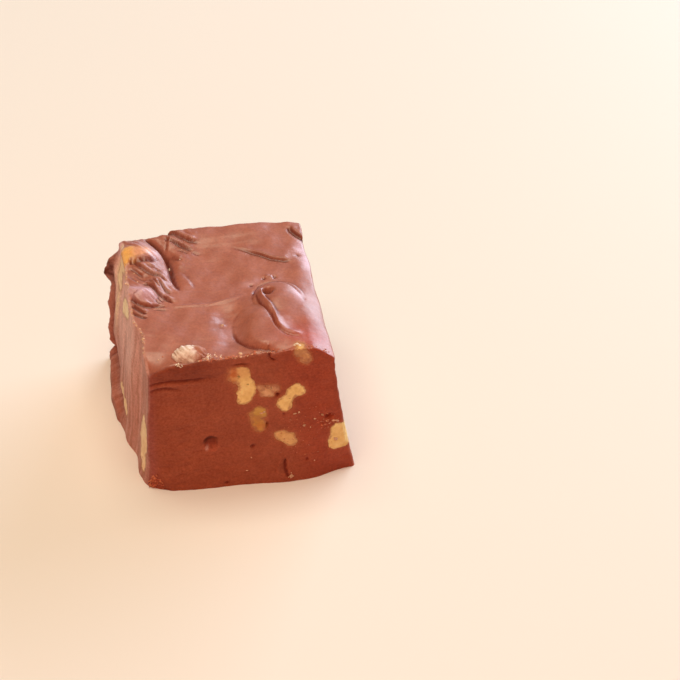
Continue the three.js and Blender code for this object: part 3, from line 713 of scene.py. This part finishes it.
def cut_flush(points, proud):
    """Brings points that stick out of the block back to its surface, with rounded edges."""
    x, y, z = points.T.copy()
    for _ in range(2):
        # about where the points were in the plain box gives them their edge radius
        radius = edge_radius(np.clip(x + LEFT_OVERHANG, 0, BOX[0]), np.clip(y, 0, BOX[1]), z)
        sides = [
            (x - left_side(y, z), right_side(y, z) - x),
            (y - front_side(x, z), back_side(x, z) - y),
            (np.full(len(x), 1e3), top_height(x, y) - z),
        ]
        inward = [np.where(low < high, 1.0, -1.0) for low, high in sides]
        over = np.stack([np.maximum(radius - proud - np.minimum(*side), 0) for side in sides], axis=1)
        length = np.linalg.norm(over, axis=1)
        back = np.maximum(length - radius, 0) / np.maximum(length, 1e-9)
        x, y, z = (place + way * move * back for place, way, move in zip((x, y, z), inward, over.T))
    return np.stack([x, y, z], axis=1)


# ---------- Meshes ----------
def add_piece(name, vertices, faces, materials, tint=None, base=None):
    """A smooth-shaded object from millimetre vertices in the piece frame, riding on the body."""
    mesh = bpy.data.meshes.new(name)
    places = (np.asarray(vertices) - FOOTPRINT_CENTRE) * MM
    faces = np.asarray(faces).tolist()
    if base is not None:
        faces.append(base.tolist())
    mesh.from_pydata(places.tolist(), [], faces)
    mesh.shade_smooth()
    if tint is not None:
        colours = np.ones((len(vertices), 4), np.float32)
        colours[:, :3] = tint
        mesh.color_attributes.new("tint", "FLOAT_COLOR", "POINT").data.foreach_set("color", colours.ravel())
    for material in materials:
        mesh.materials.append(material)
    piece = bpy.data.objects.new(name, mesh)
    bpy.context.scene.collection.objects.link(piece)
    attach(piece, "root")
    return piece


def remeshed(lobes, voxel):
    """One even skin round all the lobes: vertices and faces in mm."""
    shell = bmesh.new()
    for middle, half, axis, tip, _ in lobes:
        place = Matrix.Translation(middle) @ Matrix.Rotation(math.radians(tip), 4, axis)
        place = place @ Matrix.Diagonal((*half, 1))
        bmesh.ops.create_icosphere(shell, subdivisions=3, radius=1, matrix=place)
    mesh = bpy.data.meshes.new("lobes")
    shell.to_mesh(mesh)
    shell.free()
    source = bpy.data.objects.new("lobes", mesh)
    bpy.context.scene.collection.objects.link(source)
    skin = source.modifiers.new("skin", "REMESH")
    skin.mode = "VOXEL"
    skin.voxel_size = voxel
    graph = bpy.context.evaluated_depsgraph_get()
    result = bpy.data.meshes.new_from_object(source.evaluated_get(graph))
    vertices = np.zeros(len(result.vertices) * 3)
    result.vertices.foreach_get("co", vertices)
    faces = np.zeros(len(result.loops), int)
    result.loops.foreach_get("vertex_index", faces)
    bpy.data.objects.remove(source)
    bpy.data.meshes.remove(mesh)
    bpy.data.meshes.remove(result)
    return vertices.reshape(-1, 3), faces.reshape(-1, 4)


# ---------- Materials ----------
def set_inputs(node, values):
    for name, value in values.items():
        node.inputs[name].default_value = value


def new_material(name, settings):
    """A material with one shader, whose constant inputs are the settings."""
    material = bpy.data.materials.new(name)
    material.use_nodes = True
    tree = material.node_tree
    tree.nodes.clear()
    output = tree.nodes.new("ShaderNodeOutputMaterial")
    shader = tree.nodes.new("ShaderNodeBsdfPrincipled")
    tree.links.new(shader.outputs["BSDF"], output.inputs["Surface"])
    set_inputs(shader, settings)
    return material, tree, shader


def noise_node(tree, scale, detail=3.0, stretch=(1, 1, 1), roughness=0.55):
    """Noise in the object's own coordinates; scale is bumps per metre."""
    place = tree.nodes.new("ShaderNodeTexCoord")
    mapping = tree.nodes.new("ShaderNodeMapping")
    texture = tree.nodes.new("ShaderNodeTexNoise")
    set_inputs(mapping, {"Scale": stretch})
    set_inputs(texture, {"Scale": scale, "Detail": detail, "Roughness": roughness})
    tree.links.new(place.outputs["Object"], mapping.inputs["Vector"])
    tree.links.new(mapping.outputs["Vector"], texture.inputs["Vector"])
    return texture.outputs["Fac"]


def ranged(tree, value, low, high, to_low=0.0, to_high=1.0):
    node = tree.nodes.new("ShaderNodeMapRange")
    set_inputs(node, {"From Min": low, "From Max": high, "To Min": to_low, "To Max": to_high})
    tree.links.new(value, node.inputs["Value"])
    return node.outputs["Result"]


def mixed(tree, share, first, second, mode="MIX"):
    node = tree.nodes.new("ShaderNodeMix")
    node.data_type = "RGBA"
    node.blend_type = mode
    for socket, value in ((node.inputs[0], share), (node.inputs[6], first), (node.inputs[7], second)):
        if isinstance(value, bpy.types.NodeSocket):
            tree.links.new(value, socket)
        elif np.ndim(value):
            socket.default_value = (*value, 1)
        else:
            socket.default_value = value
    return node.outputs[2]


def tint_node(tree):
    node = tree.nodes.new("ShaderNodeVertexColor")
    node.layer_name = "tint"
    return node.outputs["Color"]


def times(tree, colour, share, low, high):
    """The colour, darker or lighter by noise: times low where share is 0, high where it is 1."""
    return mixed(tree, 1.0, colour, mixed(tree, share, low, high), "MULTIPLY")


def bump(tree, shader, *layers):
    """Adds small relief: (height socket, depth in mm) pairs, chained."""
    normal = None
    for height, depth in layers:
        node = tree.nodes.new("ShaderNodeBump")
        set_inputs(node, {"Strength": 1, "Distance": depth * MM})
        tree.links.new(height, node.inputs["Height"])
        if normal:
            tree.links.new(normal, node.inputs["Normal"])
        normal = node.outputs["Normal"]
    tree.links.new(normal, shader.inputs["Normal"])


SUGAR_FLECK = linear(186, 118, 88)


def fudge_colour(tree, flecks):
    """The tint with soft blotches and a fine grain; flecks is the share of pale flecks of sugar."""
    blotches = ranged(tree, noise_node(tree, 170), 0.35, 0.65)
    mottling = ranged(tree, noise_node(tree, 560), 0.35, 0.65)
    grain = ranged(tree, noise_node(tree, 1700, roughness=0.7), 0.32, 0.68)
    depth = 0.12 + 2 * flecks
    colour = tint_node(tree)
    for share, darker, paler in (
        (blotches, (0.93, 0.9, 0.89), (1.07, 1.1, 1.12)),
        (mottling, (0.97, 0.95, 0.95), (1.03, 1.06, 1.07)),
        (grain, (1 - depth, 1 - 1.2 * depth, 1 - 1.3 * depth), (1 + depth, 1 + 1.3 * depth, 1 + 1.5 * depth)),
    ):
        colour = times(tree, colour, share, darker, paler)
    specks = ranged(tree, noise_node(tree, 900, 2, roughness=0.7), 0.8 - flecks, 0.86 - flecks)
    return mixed(tree, specks, colour, SUGAR_FLECK)


def fudge_skin_material():
    """The top, which set in the air: smooth and satin."""
    coat = {"Specular IOR Level": 0.6, "Coat Weight": 0.45, "Coat Roughness": 0.3}
    sheen = {"Sheen Weight": 0.2, "Sheen Roughness": 0.4, "Sheen Tint": (0.55, 0.72, 1.0, 1)}
    material, tree, shader = new_material("fudge_skin", coat | sheen)
    tree.links.new(fudge_colour(tree, 0.0), shader.inputs["Base Color"])
    tree.links.new(ranged(tree, noise_node(tree, 420), 0.3, 0.7, 0.42, 0.54), shader.inputs["Roughness"])
    bump(tree, shader, (noise_node(tree, 700), 0.07), (noise_node(tree, 2200, 2), 0.02))
    return material


def fudge_cut_material():
    """The cut sides: duller, with the grain of the sugar."""
    material, tree, shader = new_material("fudge_cut", {"Specular IOR Level": 0.22})
    tree.links.new(fudge_colour(tree, 0.03), shader.inputs["Base Color"])
    tree.links.new(ranged(tree, noise_node(tree, 520), 0.3, 0.7, 0.5, 0.66), shader.inputs["Roughness"])
    drag = noise_node(tree, 260, stretch=(0.35, 0.35, 3.2))
    bump(tree, shader, (drag, 0.1), (noise_node(tree, 1200), 0.07), (noise_node(tree, 3600, 2), 0.02))
    return material


def walnut_material():
    material, tree, shader = new_material("walnut", {"Roughness": 0.45, "Specular IOR Level": 0.35})
    grain = ranged(tree, noise_node(tree, 900), 0.35, 0.65)
    colour = times(tree, tint_node(tree), grain, (0.92, 0.88, 0.8), (1.03, 1.04, 1.06))
    tree.links.new(colour, shader.inputs["Base Color"])
    bump(tree, shader, (noise_node(tree, 700), 0.1), (noise_node(tree, 2600, 2), 0.03))
    return material


def crumb_material(name):
    material, tree, shader = new_material(name, {"Roughness": 0.7})
    grain = ranged(tree, noise_node(tree, 1800), 0.35, 0.65)
    colour = times(tree, tint_node(tree), grain, (0.88, 0.85, 0.82), (1.05, 1.05, 1.05))
    tree.links.new(colour, shader.inputs["Base Color"])
    return material


def floor_material():
    colour = (0.92, 0.84, 0.79, 1)
    return new_material("floor", {"Base Color": colour, "Roughness": 0.5, "Specular IOR Level": 0.4})[0]


# ---------- The fudge ----------
FUDGE = linear(164, 81, 54)          # freshly cut
REDDER_FUDGE = linear(166, 62, 32)
# painted sheen along the left edge of the front
PAINTED_EDGE_SHEEN = linear(158, 84, 80)
RIDGE_TOP = linear(186, 98, 70)      # on what stands up from a cut
SKIN_AND_SHEEN = linear(173, 100, 79)          # the dried top, paler partly for real and partly from painted sheen
DARK_TONE_AND_SHADE = linear(122, 44, 24)           # painted shade in hollows, grooves and creases, also the darker streaks of the left side
PAINTED_FOLD_SHADE = linear(104, 34, 18)      # painted shade at the feet of the folds of the top and in the valley
SMEAR_AND_SHEEN = linear(232, 178, 166)      # pale film that the knife leaves, with painted sheen on the left side and a painted highlight in the bubble
LUMP = linear(98, 38, 22)
LUMP_RIM = linear(240, 180, 130)
GLOW = linear(248, 182, 100)         # the corner walnut seen through a thin layer
THIN_SKIN = linear(230, 156, 118)    # the layer round the glow
PAINTED_CREST_HIGHLIGHT = linear(246, 176, 142)    # painted highlight on the crest just past the edge of that layer
PAINTED_SHADE_RED = linear(176, 66, 34)           # painted shade: darker, redder fudge at the front right of the top
HALO = linear(186, 112, 70)          # fudge thin over the border of a walnut
PAINTED_SHEEN = linear(212, 162, 172)        # painted bluish sheen on the skin
BUBBLE_SHADE = linear(92, 32, 18)
# painted light on the lower wall of the bubble
BUBBLE_PAINTED_LIGHT = linear(190, 96, 70)
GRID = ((165, 165, 108))
POCKET_DEPTH = 0.55
DOME_POCKET_DEPTH = 0.8
# The edge of the film over the corner walnut, seen from above
FILM_EDGE = smooth_line(
    [(-2.4, 43.2), (0.6, 43.2), (3.1, 42.2), (4.5, 41), (3.3, 39.2), (2, 38.2), (0.9, 38.3),
     (0.2, 38.9), (-0.7, 37.9), (-2.4, 37.2)],
    40,
)
# Painted sheen on the hump, the patch in front of it, the right edge and round the swirl: x, y,
# half length in x, half length in y, share
PAINTED_SHEEN_SPOTS = [
    (1.8, 26.2, 3.4, 2.2, 0.9), (6.0, 24.6, 1.8, 1.6, 0.6), (6.6, 40.6, 1.3, 2.6, 0.7),
    (4.0, 44.8, 3.0, 1.4, 0.4), (8.2, 34.0, 1.2, 3.0, 0.35), (43.8, 41.5, 1.3, 2.6, 0.9),
    (44.9, 36.5, 1.3, 3.4, 1.0), (40.9, 21.4, 1.1, 2.4, 1.0), (29.4, 28.2, 1.8, 1.2, 0.4),
    (31.4, 29.4, 0.8, 1.4, 0.4), (22.0, 9.0, 2.6, 5.0, 0.35), (5.2, 41.4, 1.2, 1.0, 0.8),
    (1.4, 27.6, 2.4, 1.2, 0.6),
]


def fold_shade_share(x, y):
    """How much painted shade each point of the top gets from lying in a fold or the valley, from 0 to 1."""
    distance, along = nearest(VALLEY, x, y)
    depth = bell(distance + 0.1, 0.6) * fade(along, 0.1, 0.25)
    for line, cut, width, _, _, ends in FOLDS:
        distance, along = nearest(line, x, y)
        depth = np.maximum(depth, min(cut / 0.7, 1) * bell(distance + 0.1, width) * fade(along, *ends))
    return depth


def left_layers(y, z, left):
    """The knife has smeared the left side from top to bottom; its paleness is partly that smear and partly
    painted sheen, most at the upper back.
    """
    streaks = flat_noise(drag_lines(y, z), z, (0.8, 14), 61, 3)
    # painted sheen: the left side is paler all over and most at the upper back
    paler = 0.32 + 0.6 * ramp(6, 28, y) * ramp(8, 32, z)
    foot = ramp(FOOT_HEIGHT + 0.4, FOOT_HEIGHT - 1.2, z) * ramp(18, 25, y)
    bare = np.maximum(ramp(46, 48, y), foot)
    yield SMEAR_AND_SHEEN, left * (paler + 0.3 * ramp(-0.6, 0.9, streaks)) * (1 - 0.55 * bare)
    darker = 0.1 * bare + 0.2 * ramp(0.3, 1.2, -streaks) * (1 - bare)
    # darker streaks and foot, and painted shade in the groove
    yield DARK_TONE_AND_SHADE, left * (darker + 0.35 * bell(y - GROOVE_Y, 0.6))
    # painted sheen at the top of the back of the left side
    yield PAINTED_SHEEN, left * bell(y - 47, 2.5) * ramp(36.5, 38.5, z) * 0.6
    pale = bell(y - 44.5 + 0.06 * (40 - z), 1.6) * ramp(12, 24, z)
    yield PALE, left * pale * ramp(-0.7, 0.4, streaks) * 0.9
    # the lump at the back corner is dark, with a pale rim
    lump = left * bell(z - LUMP_Z, 4.2)
    rough = flat_noise(y, z, (0.9, 0.9), 66, 3)
    yield LUMP, lump * ramp(46.6, 47.8, y) * (0.9 + 0.5 * rough)
    yield LUMP_RIM, lump * bell(y - 49.9 + 0.3 * rough, 0.55)


def top_layers(x, y, z, on_top, hollow):
    """Over the corner walnut the skin is thin, up to an uneven edge. Elsewhere it has spots of painted sheen
    and a painted highlight.
    """
    distance, _ = nearest(FILM_EDGE, x, y)
    wobble = 0.25 * flat_noise(x, y, (0.9, 0.9), 63)
    inside = ramp(-0.7, 0.5, -distance + wobble) * (np.abs(distance) < 8) * ramp(38, 40, z)
    drawn = 0.12 * flat_noise(x + 0.4 * y, y, (0.5, 3), 64, 3)
    yield THIN_SKIN, inside * (0.9 + drawn) * (1 - 0.5 * ramp(3, 4.6, x)) * ramp(38, 40, y)
    yield GLOW, inside * (1 + drawn) * (1 - 0.9 * ramp(-0.6, 2.2, x + drawn)) * ramp(48, 44, y)
    for sheen_x, sheen_y, length_x, length_y, share in PAINTED_SHEEN_SPOTS:
        spot = bell(x - sheen_x, length_x) * bell(y - sheen_y, length_y)
        yield PAINTED_SHEEN, on_top * spot * share * ramp(0.06, 0.0, hollow) * (0.9 + 0.3 * wobble)
    # a painted highlight on the crest of the hump
    yield PAINTED_CREST_HIGHLIGHT, on_top * 0.8 * bell(x - 4.6, 1.6) * bell(y - 41.6, 1.7)


def front_layers(x, y, z, front, on_top, in_bubble):
    """The band over the upper crease gets painted shade, the left edge painted sheen, the right is redder,
    the bubble painted shade and light, and the front right of the top painted shade.
    """
    # painted shade on the band over the upper crease
    band = ramp(34.2, 35.2, z + 0.4 * flat_noise(x, z, (3, 3), 65)) * ramp(24, 14, x)
    yield DARK_TONE_AND_SHADE, front * 0.5 * band
    # painted sheen along the left edge
    yield PAINTED_EDGE_SHEEN, front * 0.55 * bell(x - 1.2, 1.6)
    yield REDDER_FUDGE, front * 0.6 * ramp(32, 44, x + 0.15 * (z - 20))
    right, up = x - BUBBLE_X, z - BUBBLE_Z
    # painted light on the bubble's lower wall, painted shade on its upper part and a painted highlight at its
    # lower left
    yield BUBBLE_PAINTED_LIGHT, in_bubble * 0.5 * ramp(0.4, -1.2, up)
    yield BUBBLE_SHADE, in_bubble * 0.9 * ramp(0.1, 1.6, up - 0.4 * right)
    yield SMEAR_AND_SHEEN, in_bubble * 0.8 * bell(right + 1.1, 0.4) * bell(up + 1.5, 0.5)
    # painted shade: the front right of the top is darker and redder
    corner_shade = bell(x - 42, 7.5) * bell(y - 5, 6.5)
    yield PAINTED_SHADE_RED, on_top * corner_shade * (0.78 + 0.2 * flat_noise(x, y, (3, 3), 67))


def fudge_tint(points, plain, hollow):
    """The fudge's colour at each vertex: layers of colour, each laid over those before it."""
    x, y, z = points.T
    left, front = ramp(0.9, 0.2, plain[:, 0]), ramp(0.9, 0.2, plain[:, 1])
    on_top = ramp(BOX[2] - 0.9, BOX[2] - 0.2, plain[:, 2])
    in_bubble = ramp(1.2, 1.0, from_bubble(x, z)) * front
    # painted shade in hollows and at the feet of the folds of the top; what stands up from a cut is lighter
    creases = [
        (DARK_TONE_AND_SHADE, (0.95 - 0.4 * in_bubble) * ramp(0.008, 0.09, hollow)),
        (PAINTED_FOLD_SHADE, 0.7 * on_top * fold_shade_share(x, y)),
        (RIDGE_TOP, 0.6 * ramp(0.03, 0.16, -hollow) * (1 - on_top)),
    ]
    # the top takes the skin colour, its paleness partly painted sheen
    tint = mix(FUDGE, SKIN_AND_SHEEN, on_top[:, None])
    for colour, share in itertools.chain(
        creases,
        left_layers(y, z, left),
        top_layers(x, y, z, on_top, hollow),
        front_layers(x, y, z, front, on_top, in_bubble),
    ):
        tint = mix(tint, colour, np.clip(share, 0, 1)[:, None])
    return tint


def make_fudge():
    plain, faces, base = box_grid(GRID)
    points = settle(plain)
    normals = vertex_normals(points, faces)
    tint = fudge_tint(points, plain, hollowness(points, faces, normals))
    for index, (lobes, smeared, _) in enumerate(WALNUTS.values()):
        low = np.min([np.subtract(lobe[0], lobe[1]) for lobe in lobes], axis=0) - 2
        high = np.max([np.add(lobe[0], lobe[1]) for lobe in lobes], axis=0) + 2
        near = np.flatnonzero(((points > low) & (points < high)).all(1))
        distance = walnut_distance(points[near], lobes, 100 + index)
        halo = (0.35 + 0.5 * smeared) * ramp(0.75, 0.0, distance)
        tint[near] = mix(tint[near], HALO, halo[:, None])
        points[near] -= normals[near] * (POCKET_DEPTH * ramp(-0.1, -0.6, distance))[:, None]
    points -= normals * (DOME_POCKET_DEPTH * ramp(-0.1, -0.8, lobe_distance(points, DOME)))[:, None]
    points[:, 2] = np.maximum(points[:, 2], 0)
    piece = add_piece("fudge_body", points, faces, [fudge_cut_material(), fudge_skin_material()], tint, base)
    mesh = piece.data
    slots = np.zeros(len(mesh.polygons), np.int32)
    slots[-1 - GRID[0] * GRID[1] : -1] = 1
    mesh.polygons.foreach_set("material_index", slots)
    rim = np.zeros(len(mesh.vertices), bool)
    rim[base] = True
    ends = np.zeros(len(mesh.edges) * 2, int)
    mesh.edges.foreach_get("vertices", ends)
    sharp = mesh.attributes.new("sharp_edge", "BOOLEAN", "EDGE")
    sharp.data.foreach_set("value", rim[ends].reshape(-1, 2).all(1))
    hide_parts("fudge")


# ---------- The walnuts ----------
WALNUT_SKIN = linear(204, 112, 50)
FILM = linear(172, 98, 66)
VOXEL = 0.22


def make_walnut(name, material, seed):
    lobes, smeared, flesh = WALNUTS[name]
    points, faces = remeshed(lobes, VOXEL)
    for _ in range(4):
        points = mix(points, neighbour_mean(points, faces), 0.6)
        normals = vertex_normals(points, faces)
        points = points - normals * (0.9 * walnut_distance(points, lobes, seed))[:, None]
    patches = even_noise(points, 1.5, seed + 13)
    points = cut_flush(points, 0.02 + 0.05 * even_noise(points, 1.4, seed + 9))
    depth = -walnut_distance(points, lobes, seed)
    brown = brownness(points, lobes)
    brown = np.clip(brown + 0.3 * even_noise(points, 1.2, seed + 11) * (0.2 + brown), 0, 1)
    tint = mix(np.tile(flesh, (len(points), 1)), WALNUT_SKIN, brown[:, None])
    ragged = even_noise(points, 0.6, seed + 15, 3)
    border = ramp(0.5 + 0.7 * smeared, 0.0, depth + 0.2 * patches + 0.3 * ragged)
    clouds = even_noise(points, 2.2, seed + 17, 3)
    tint = tint * (1 + clouds[:, None] * (0.05, 0.09, 0.16))
    film = np.clip(0.8 * border + smeared * ramp(0.1, 0.9, patches + 0.4 * smeared), 0, 1)
    tint = mix(tint, FILM, (0.85 * film)[:, None])
    piece = add_piece(name + "_piece", points, faces, [material], tint)
    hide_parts(name)


DOME_SKIN = linear(242, 216, 202)
DOME_GROOVE = linear(176, 112, 78)
# fudge dust, and painted shade on the right and lower part of the dome
DOME_DUST_AND_SHADE = linear(176, 94, 66)


def make_dome(material):
    """The walnut that stands out of the top edge: pale wrinkled skin, dusted with fudge and darker with
    painted shade towards the right and the bottom.
    """
    points, faces = remeshed([DOME], VOXEL)
    normals = vertex_normals(points, faces)
    x, y, z = points.T
    along = x + 0.8 * z + 0.5 * y
    ridges = 0.2 * noise(along, y, x - z, (0.6, 3, 3.5), 301, 3) + 0.16 * even_noise(points, 2.0, 303)
    points = points + normals * (ridges - 0.1)[:, None]
    points[:, 1] = np.maximum(points[:, 1], front_side(points[:, 0], points[:, 2]) - 0.05)
    x, y, z = points.T
    patches = even_noise(points, 1.1, 305, 3)
    tint = np.tile(DOME_SKIN, (len(points), 1))
    tint = mix(tint, DOME_GROOVE, (0.6 * ramp(-0.02, -0.2, ridges - 0.1 * patches))[:, None])
    # dust in patches, and painted shade growing to the right and downward
    dust_and_shade = ramp(-0.3, 0.5, 0.42 * (x - 12.6) + 0.5 * patches + 0.1 * (40.5 - z))
    tint = mix(tint, DOME_DUST_AND_SHADE, (0.85 * dust_and_shade)[:, None])
    piece = add_piece("walnut_dome_piece", points, faces, [material], tint)
    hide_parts("walnut_top_dome")


# ---------- Crumbs and dust ----------
WHITE_DUST = linear(244, 224, 206)
PALE_CRUMB = linear(232, 186, 152)
WARM_CRUMB = linear(206, 118, 82)
RED_CRUMB = linear(204, 108, 78)
FLECK = linear(198, 118, 90)
# Single pale flakes on the front: x, z, size
FRONT_FLAKES = [
    (37.6, 21.4, 0.42), (38.5, 21.6, 0.3), (39.8, 17.3, 0.32), (41.4, 16.5, 0.28), (42.5, 18.9, 0.3),
    (44.6, 19.7, 0.36), (26.3, 8.7, 0.26), (25.2, 4.6, 0.24), (42.4, 5.6, 0.26), (29.3, 21.9, 0.5),
    (29.9, 22.3, 0.35), (48.0, 11.0, 0.5), (47.6, 11.4, 0.35), (46.3, 16.6, 0.4), (47.3, 17.2, 0.4),
    (48.2, 17.0, 0.36), (45.6, 17.6, 0.3),
]
# Single flakes on the top: x, y, size, colour
TOP_FLAKES = [
    (21.2, 13.7, 0.4, PALE_CRUMB), (10.1, 39.6, 0.42, WHITE_DUST), (12.9, 40.3, 0.4, WHITE_DUST),
    (0.9, 34.4, 0.4, PALE_CRUMB), (1.4, 31.2, 0.42, PALE_CRUMB), (4.6, 3.4, 0.36, PALE_CRUMB),
    (5.6, 3.9, 0.3, WARM_CRUMB), (38.5, 2.6, 0.6, WHITE_DUST), (39.1, 2.2, 0.5, WHITE_DUST),
    (37.9, 2.3, 0.4, WHITE_DUST), (24.6, 1.9, 0.5, PALE_CRUMB), (33.1, 1.5, 0.4, WARM_CRUMB),
]
# Splinters of walnut skin that hang over the edge below the dome: x, z
SPLINTERS = [(8.6, 40.1), (9.0, 39.8), (9.3, 39.5), (9.6, 39.2), (9.2, 40.2), (10.0, 39.6)]
SPLINTER_SIZE = 0.3


def crumbs(name, material, places, seed):
    """Many small broken lumps in one mesh. A place is a centre, a size and a colour."""
    rng = np.random.default_rng(seed)
    ball = bmesh.new()
    bmesh.ops.create_icosphere(ball, subdivisions=1, radius=1)
    ball.verts.ensure_lookup_table()
    shape = np.array([v.co for v in ball.verts])
    triangles = np.array([[v.index for v in f.verts] for f in ball.faces])
    ball.free()
    vertices, faces, tint = [], [], []
    for k, (centre, size, colour) in enumerate(places):
        lump = shape * (1 + rng.uniform(-0.45, 0.45, (len(shape), 1)))
        lump = lump * rng.uniform((0.5, 0.5, 0.5), (1.7, 1.2, 0.9))
        turn = Euler((rng.uniform(-0.4, 0.4), rng.uniform(-0.4, 0.4), rng.normal(0, 0.7))).to_matrix()
        vertices.append(lump @ np.array(turn).T * size + centre)
        faces.append(triangles + k * len(shape))
        tint.append(np.tile(colour, (len(shape), 1)))
    return add_piece(name, np.vstack(vertices), np.vstack(faces), [material], np.vstack(tint))


def rim_crumbs(material):
    """The pale frayed crumbs along the two cut edges of the top, and the loose ones."""
    rng = np.random.default_rng(7)
    places = []

    def size_of(largest):
        return 0.06 + largest * rng.random() ** 2.5

    def one_of(*colours):
        return colours[rng.integers(len(colours))]

    def on_top(x, y, size, colour):
        z = at(top_height, x, y) - 0.3 * size
        places.append(((x, y, z), size, colour * rng.uniform(0.8, 1.12)))

    def on_cut(x, z, size, colour):
        y = at(front_side, x, z)
        places.append(((x, y + 0.2 * size, z), size, colour * rng.uniform(0.8, 1.12)))

    # clumps along the front edge, thick in some stretches and thin in others
    for x in rng.uniform(13.5, 32.6, 520):
        if lattice_noise(np.array([[x / 1.3, 0.5, 0.5]]), 71)[0] < rng.uniform(-1, 0.7):
            continue
        y = at(front_side, x, 39.5) + abs(rng.normal(0, 0.45)) + 0.1
        on_top(x, y, size_of(0.28), one_of(RED_CRUMB, WARM_CRUMB, FLECK, PALE_CRUMB))
    for y in np.sort(rng.uniform(4, 38, 120)):
        x = at(left_side, y, 39.0) + rng.uniform(0.05, 0.6)
        on_top(x, y, size_of(0.26), PALE_CRUMB)
    # white dust right of the dome
    for _ in range(110):
        x, y = rng.normal(15.8, 1.7), abs(rng.normal(1.2, 0.8)) + 0.8
        on_top(x, y, size_of(0.34), one_of(WHITE_DUST, PALE_CRUMB))
    # the foot of the front left corner has crumbled
    for _ in range(60):
        x, z = rng.normal(2.0, 1.0), abs(rng.normal(1.4, 1.1))
        on_cut(x, z + 0.2, 0.14 + size_of(0.4), one_of(WARM_CRUMB, RED_CRUMB))
    # over the walnut at the right edge
    for _ in range(50):
        x, z = rng.normal(46.4, 1.3), rng.normal(17.4, 0.9)
        on_cut(x, z, size_of(0.36), one_of(RED_CRUMB, WARM_CRUMB, FLECK))
    # the right of the front edge
    for _ in range(110):
        x, y = rng.uniform(33, 46), abs(rng.normal(0, 0.8)) + 0.7
        on_top(x, y, size_of(0.26), one_of(WARM_CRUMB, FLECK))
    # the lower right of the front is torn into fine flecks
    for _ in range(130):
        x, z = rng.uniform(33, 47.5), rng.normal(16.5, 3.6)
        on_cut(x, z, size_of(0.26), one_of(WARM_CRUMB, FLECK, FLECK))
    # the foot of the slit
    for _ in range(16):
        on_cut(rng.normal(36.4, 0.3), rng.normal(1.8, 0.5), 0.16 + size_of(0.2), PALE_CRUMB)
    for x, z, size in FRONT_FLAKES:
        on_cut(x, z, size, PALE_CRUMB)
    for flake in TOP_FLAKES:
        on_top(*flake)
    for x, z in SPLINTERS:
        on_cut(x, z, SPLINTER_SIZE, WHITE_DUST)
    piece = crumbs("rim_crumbs", material, places, 11)


# ---------- Stage ----------
def add_light(name, place, size, power, colour):
    """A soft light that points at the middle of the piece."""
    light = bpy.data.lights.new(name, "AREA")
    light.shape = "RECTANGLE"
    light.size, light.size_y = size
    light.energy = power
    light.color = colour
    lamp = bpy.data.objects.new(name, light)
    lamp.location = place
    lamp.rotation_euler = (Vector((0, 0, 0.02)) - Vector(place)).to_track_quat("-Z", "Y").to_euler()
    bpy.context.scene.collection.objects.link(lamp)


def add_stage():
    mesh = bpy.data.meshes.new("floor")
    mesh.from_pydata([(-3, -3, 0), (3, -3, 0), (3, 3, 0), (-3, 3, 0)], [], [(0, 1, 2, 3)])
    mesh.materials.append(floor_material())
    floor = bpy.data.objects.new("floor", mesh)
    bpy.context.scene.collection.objects.link(floor)

    world = bpy.data.worlds.new("soft")
    world.use_nodes = True
    sky = world.node_tree.nodes["Background"]
    set_inputs(sky, {"Color": (0.95, 0.97, 1.0, 1), "Strength": 0.02})
    bpy.context.scene.world = world
    add_light("window", (0.85, 0.70, 0.33), (1.2, 0.7), 15.5, (0.74, 0.84, 1.0))
    add_light("ceiling", (-0.1, 0, 1.2), (1.0, 1.0), 14, (1.0, 0.9, 0.68))
    add_light("lamp", (-0.2, -0.8, 0.5), (0.8, 0.6), 2.4, (1.0, 0.25, 0.05))


CAMERA_PLACE = (-0.03533, -0.42297, 0.39511)
CAMERA_FORWARD = (0.1138, 0.7446, -0.6578)
CAMERA_ROLL = 1.213
CAMERA_LENS = 116.47


def add_camera():
    """Looks down at 41 degrees from the front, a little from the left and rolled by 1.2."""
    camera = bpy.data.cameras.new("camera")
    camera.sensor_width = 36
    camera.lens = CAMERA_LENS
    camera.clip_start, camera.clip_end = 0.01, 20
    viewer = bpy.data.objects.new("camera", camera)
    forward = Vector(CAMERA_FORWARD).normalized()
    right = forward.cross(Vector((0, 0, 1))).normalized()
    up = right.cross(forward)
    turn = Matrix((right, up, -forward)).transposed().to_4x4()
    roll = Matrix.Rotation(math.radians(CAMERA_ROLL), 4, "Z")
    viewer.matrix_world = Matrix.Translation(CAMERA_PLACE) @ turn @ roll
    bpy.context.scene.collection.objects.link(viewer)
    bpy.context.scene.camera = viewer


add_camera()
add_stage()
bpy.context.scene.view_settings.view_transform = "Standard"
walnut = walnut_material()
make_fudge()
for number, walnut_name in enumerate(WALNUTS):
    make_walnut(walnut_name, walnut, 100 + number)
make_dome(crumb_material("walnut_dusty"))
rim_crumbs(crumb_material("crumbs"))
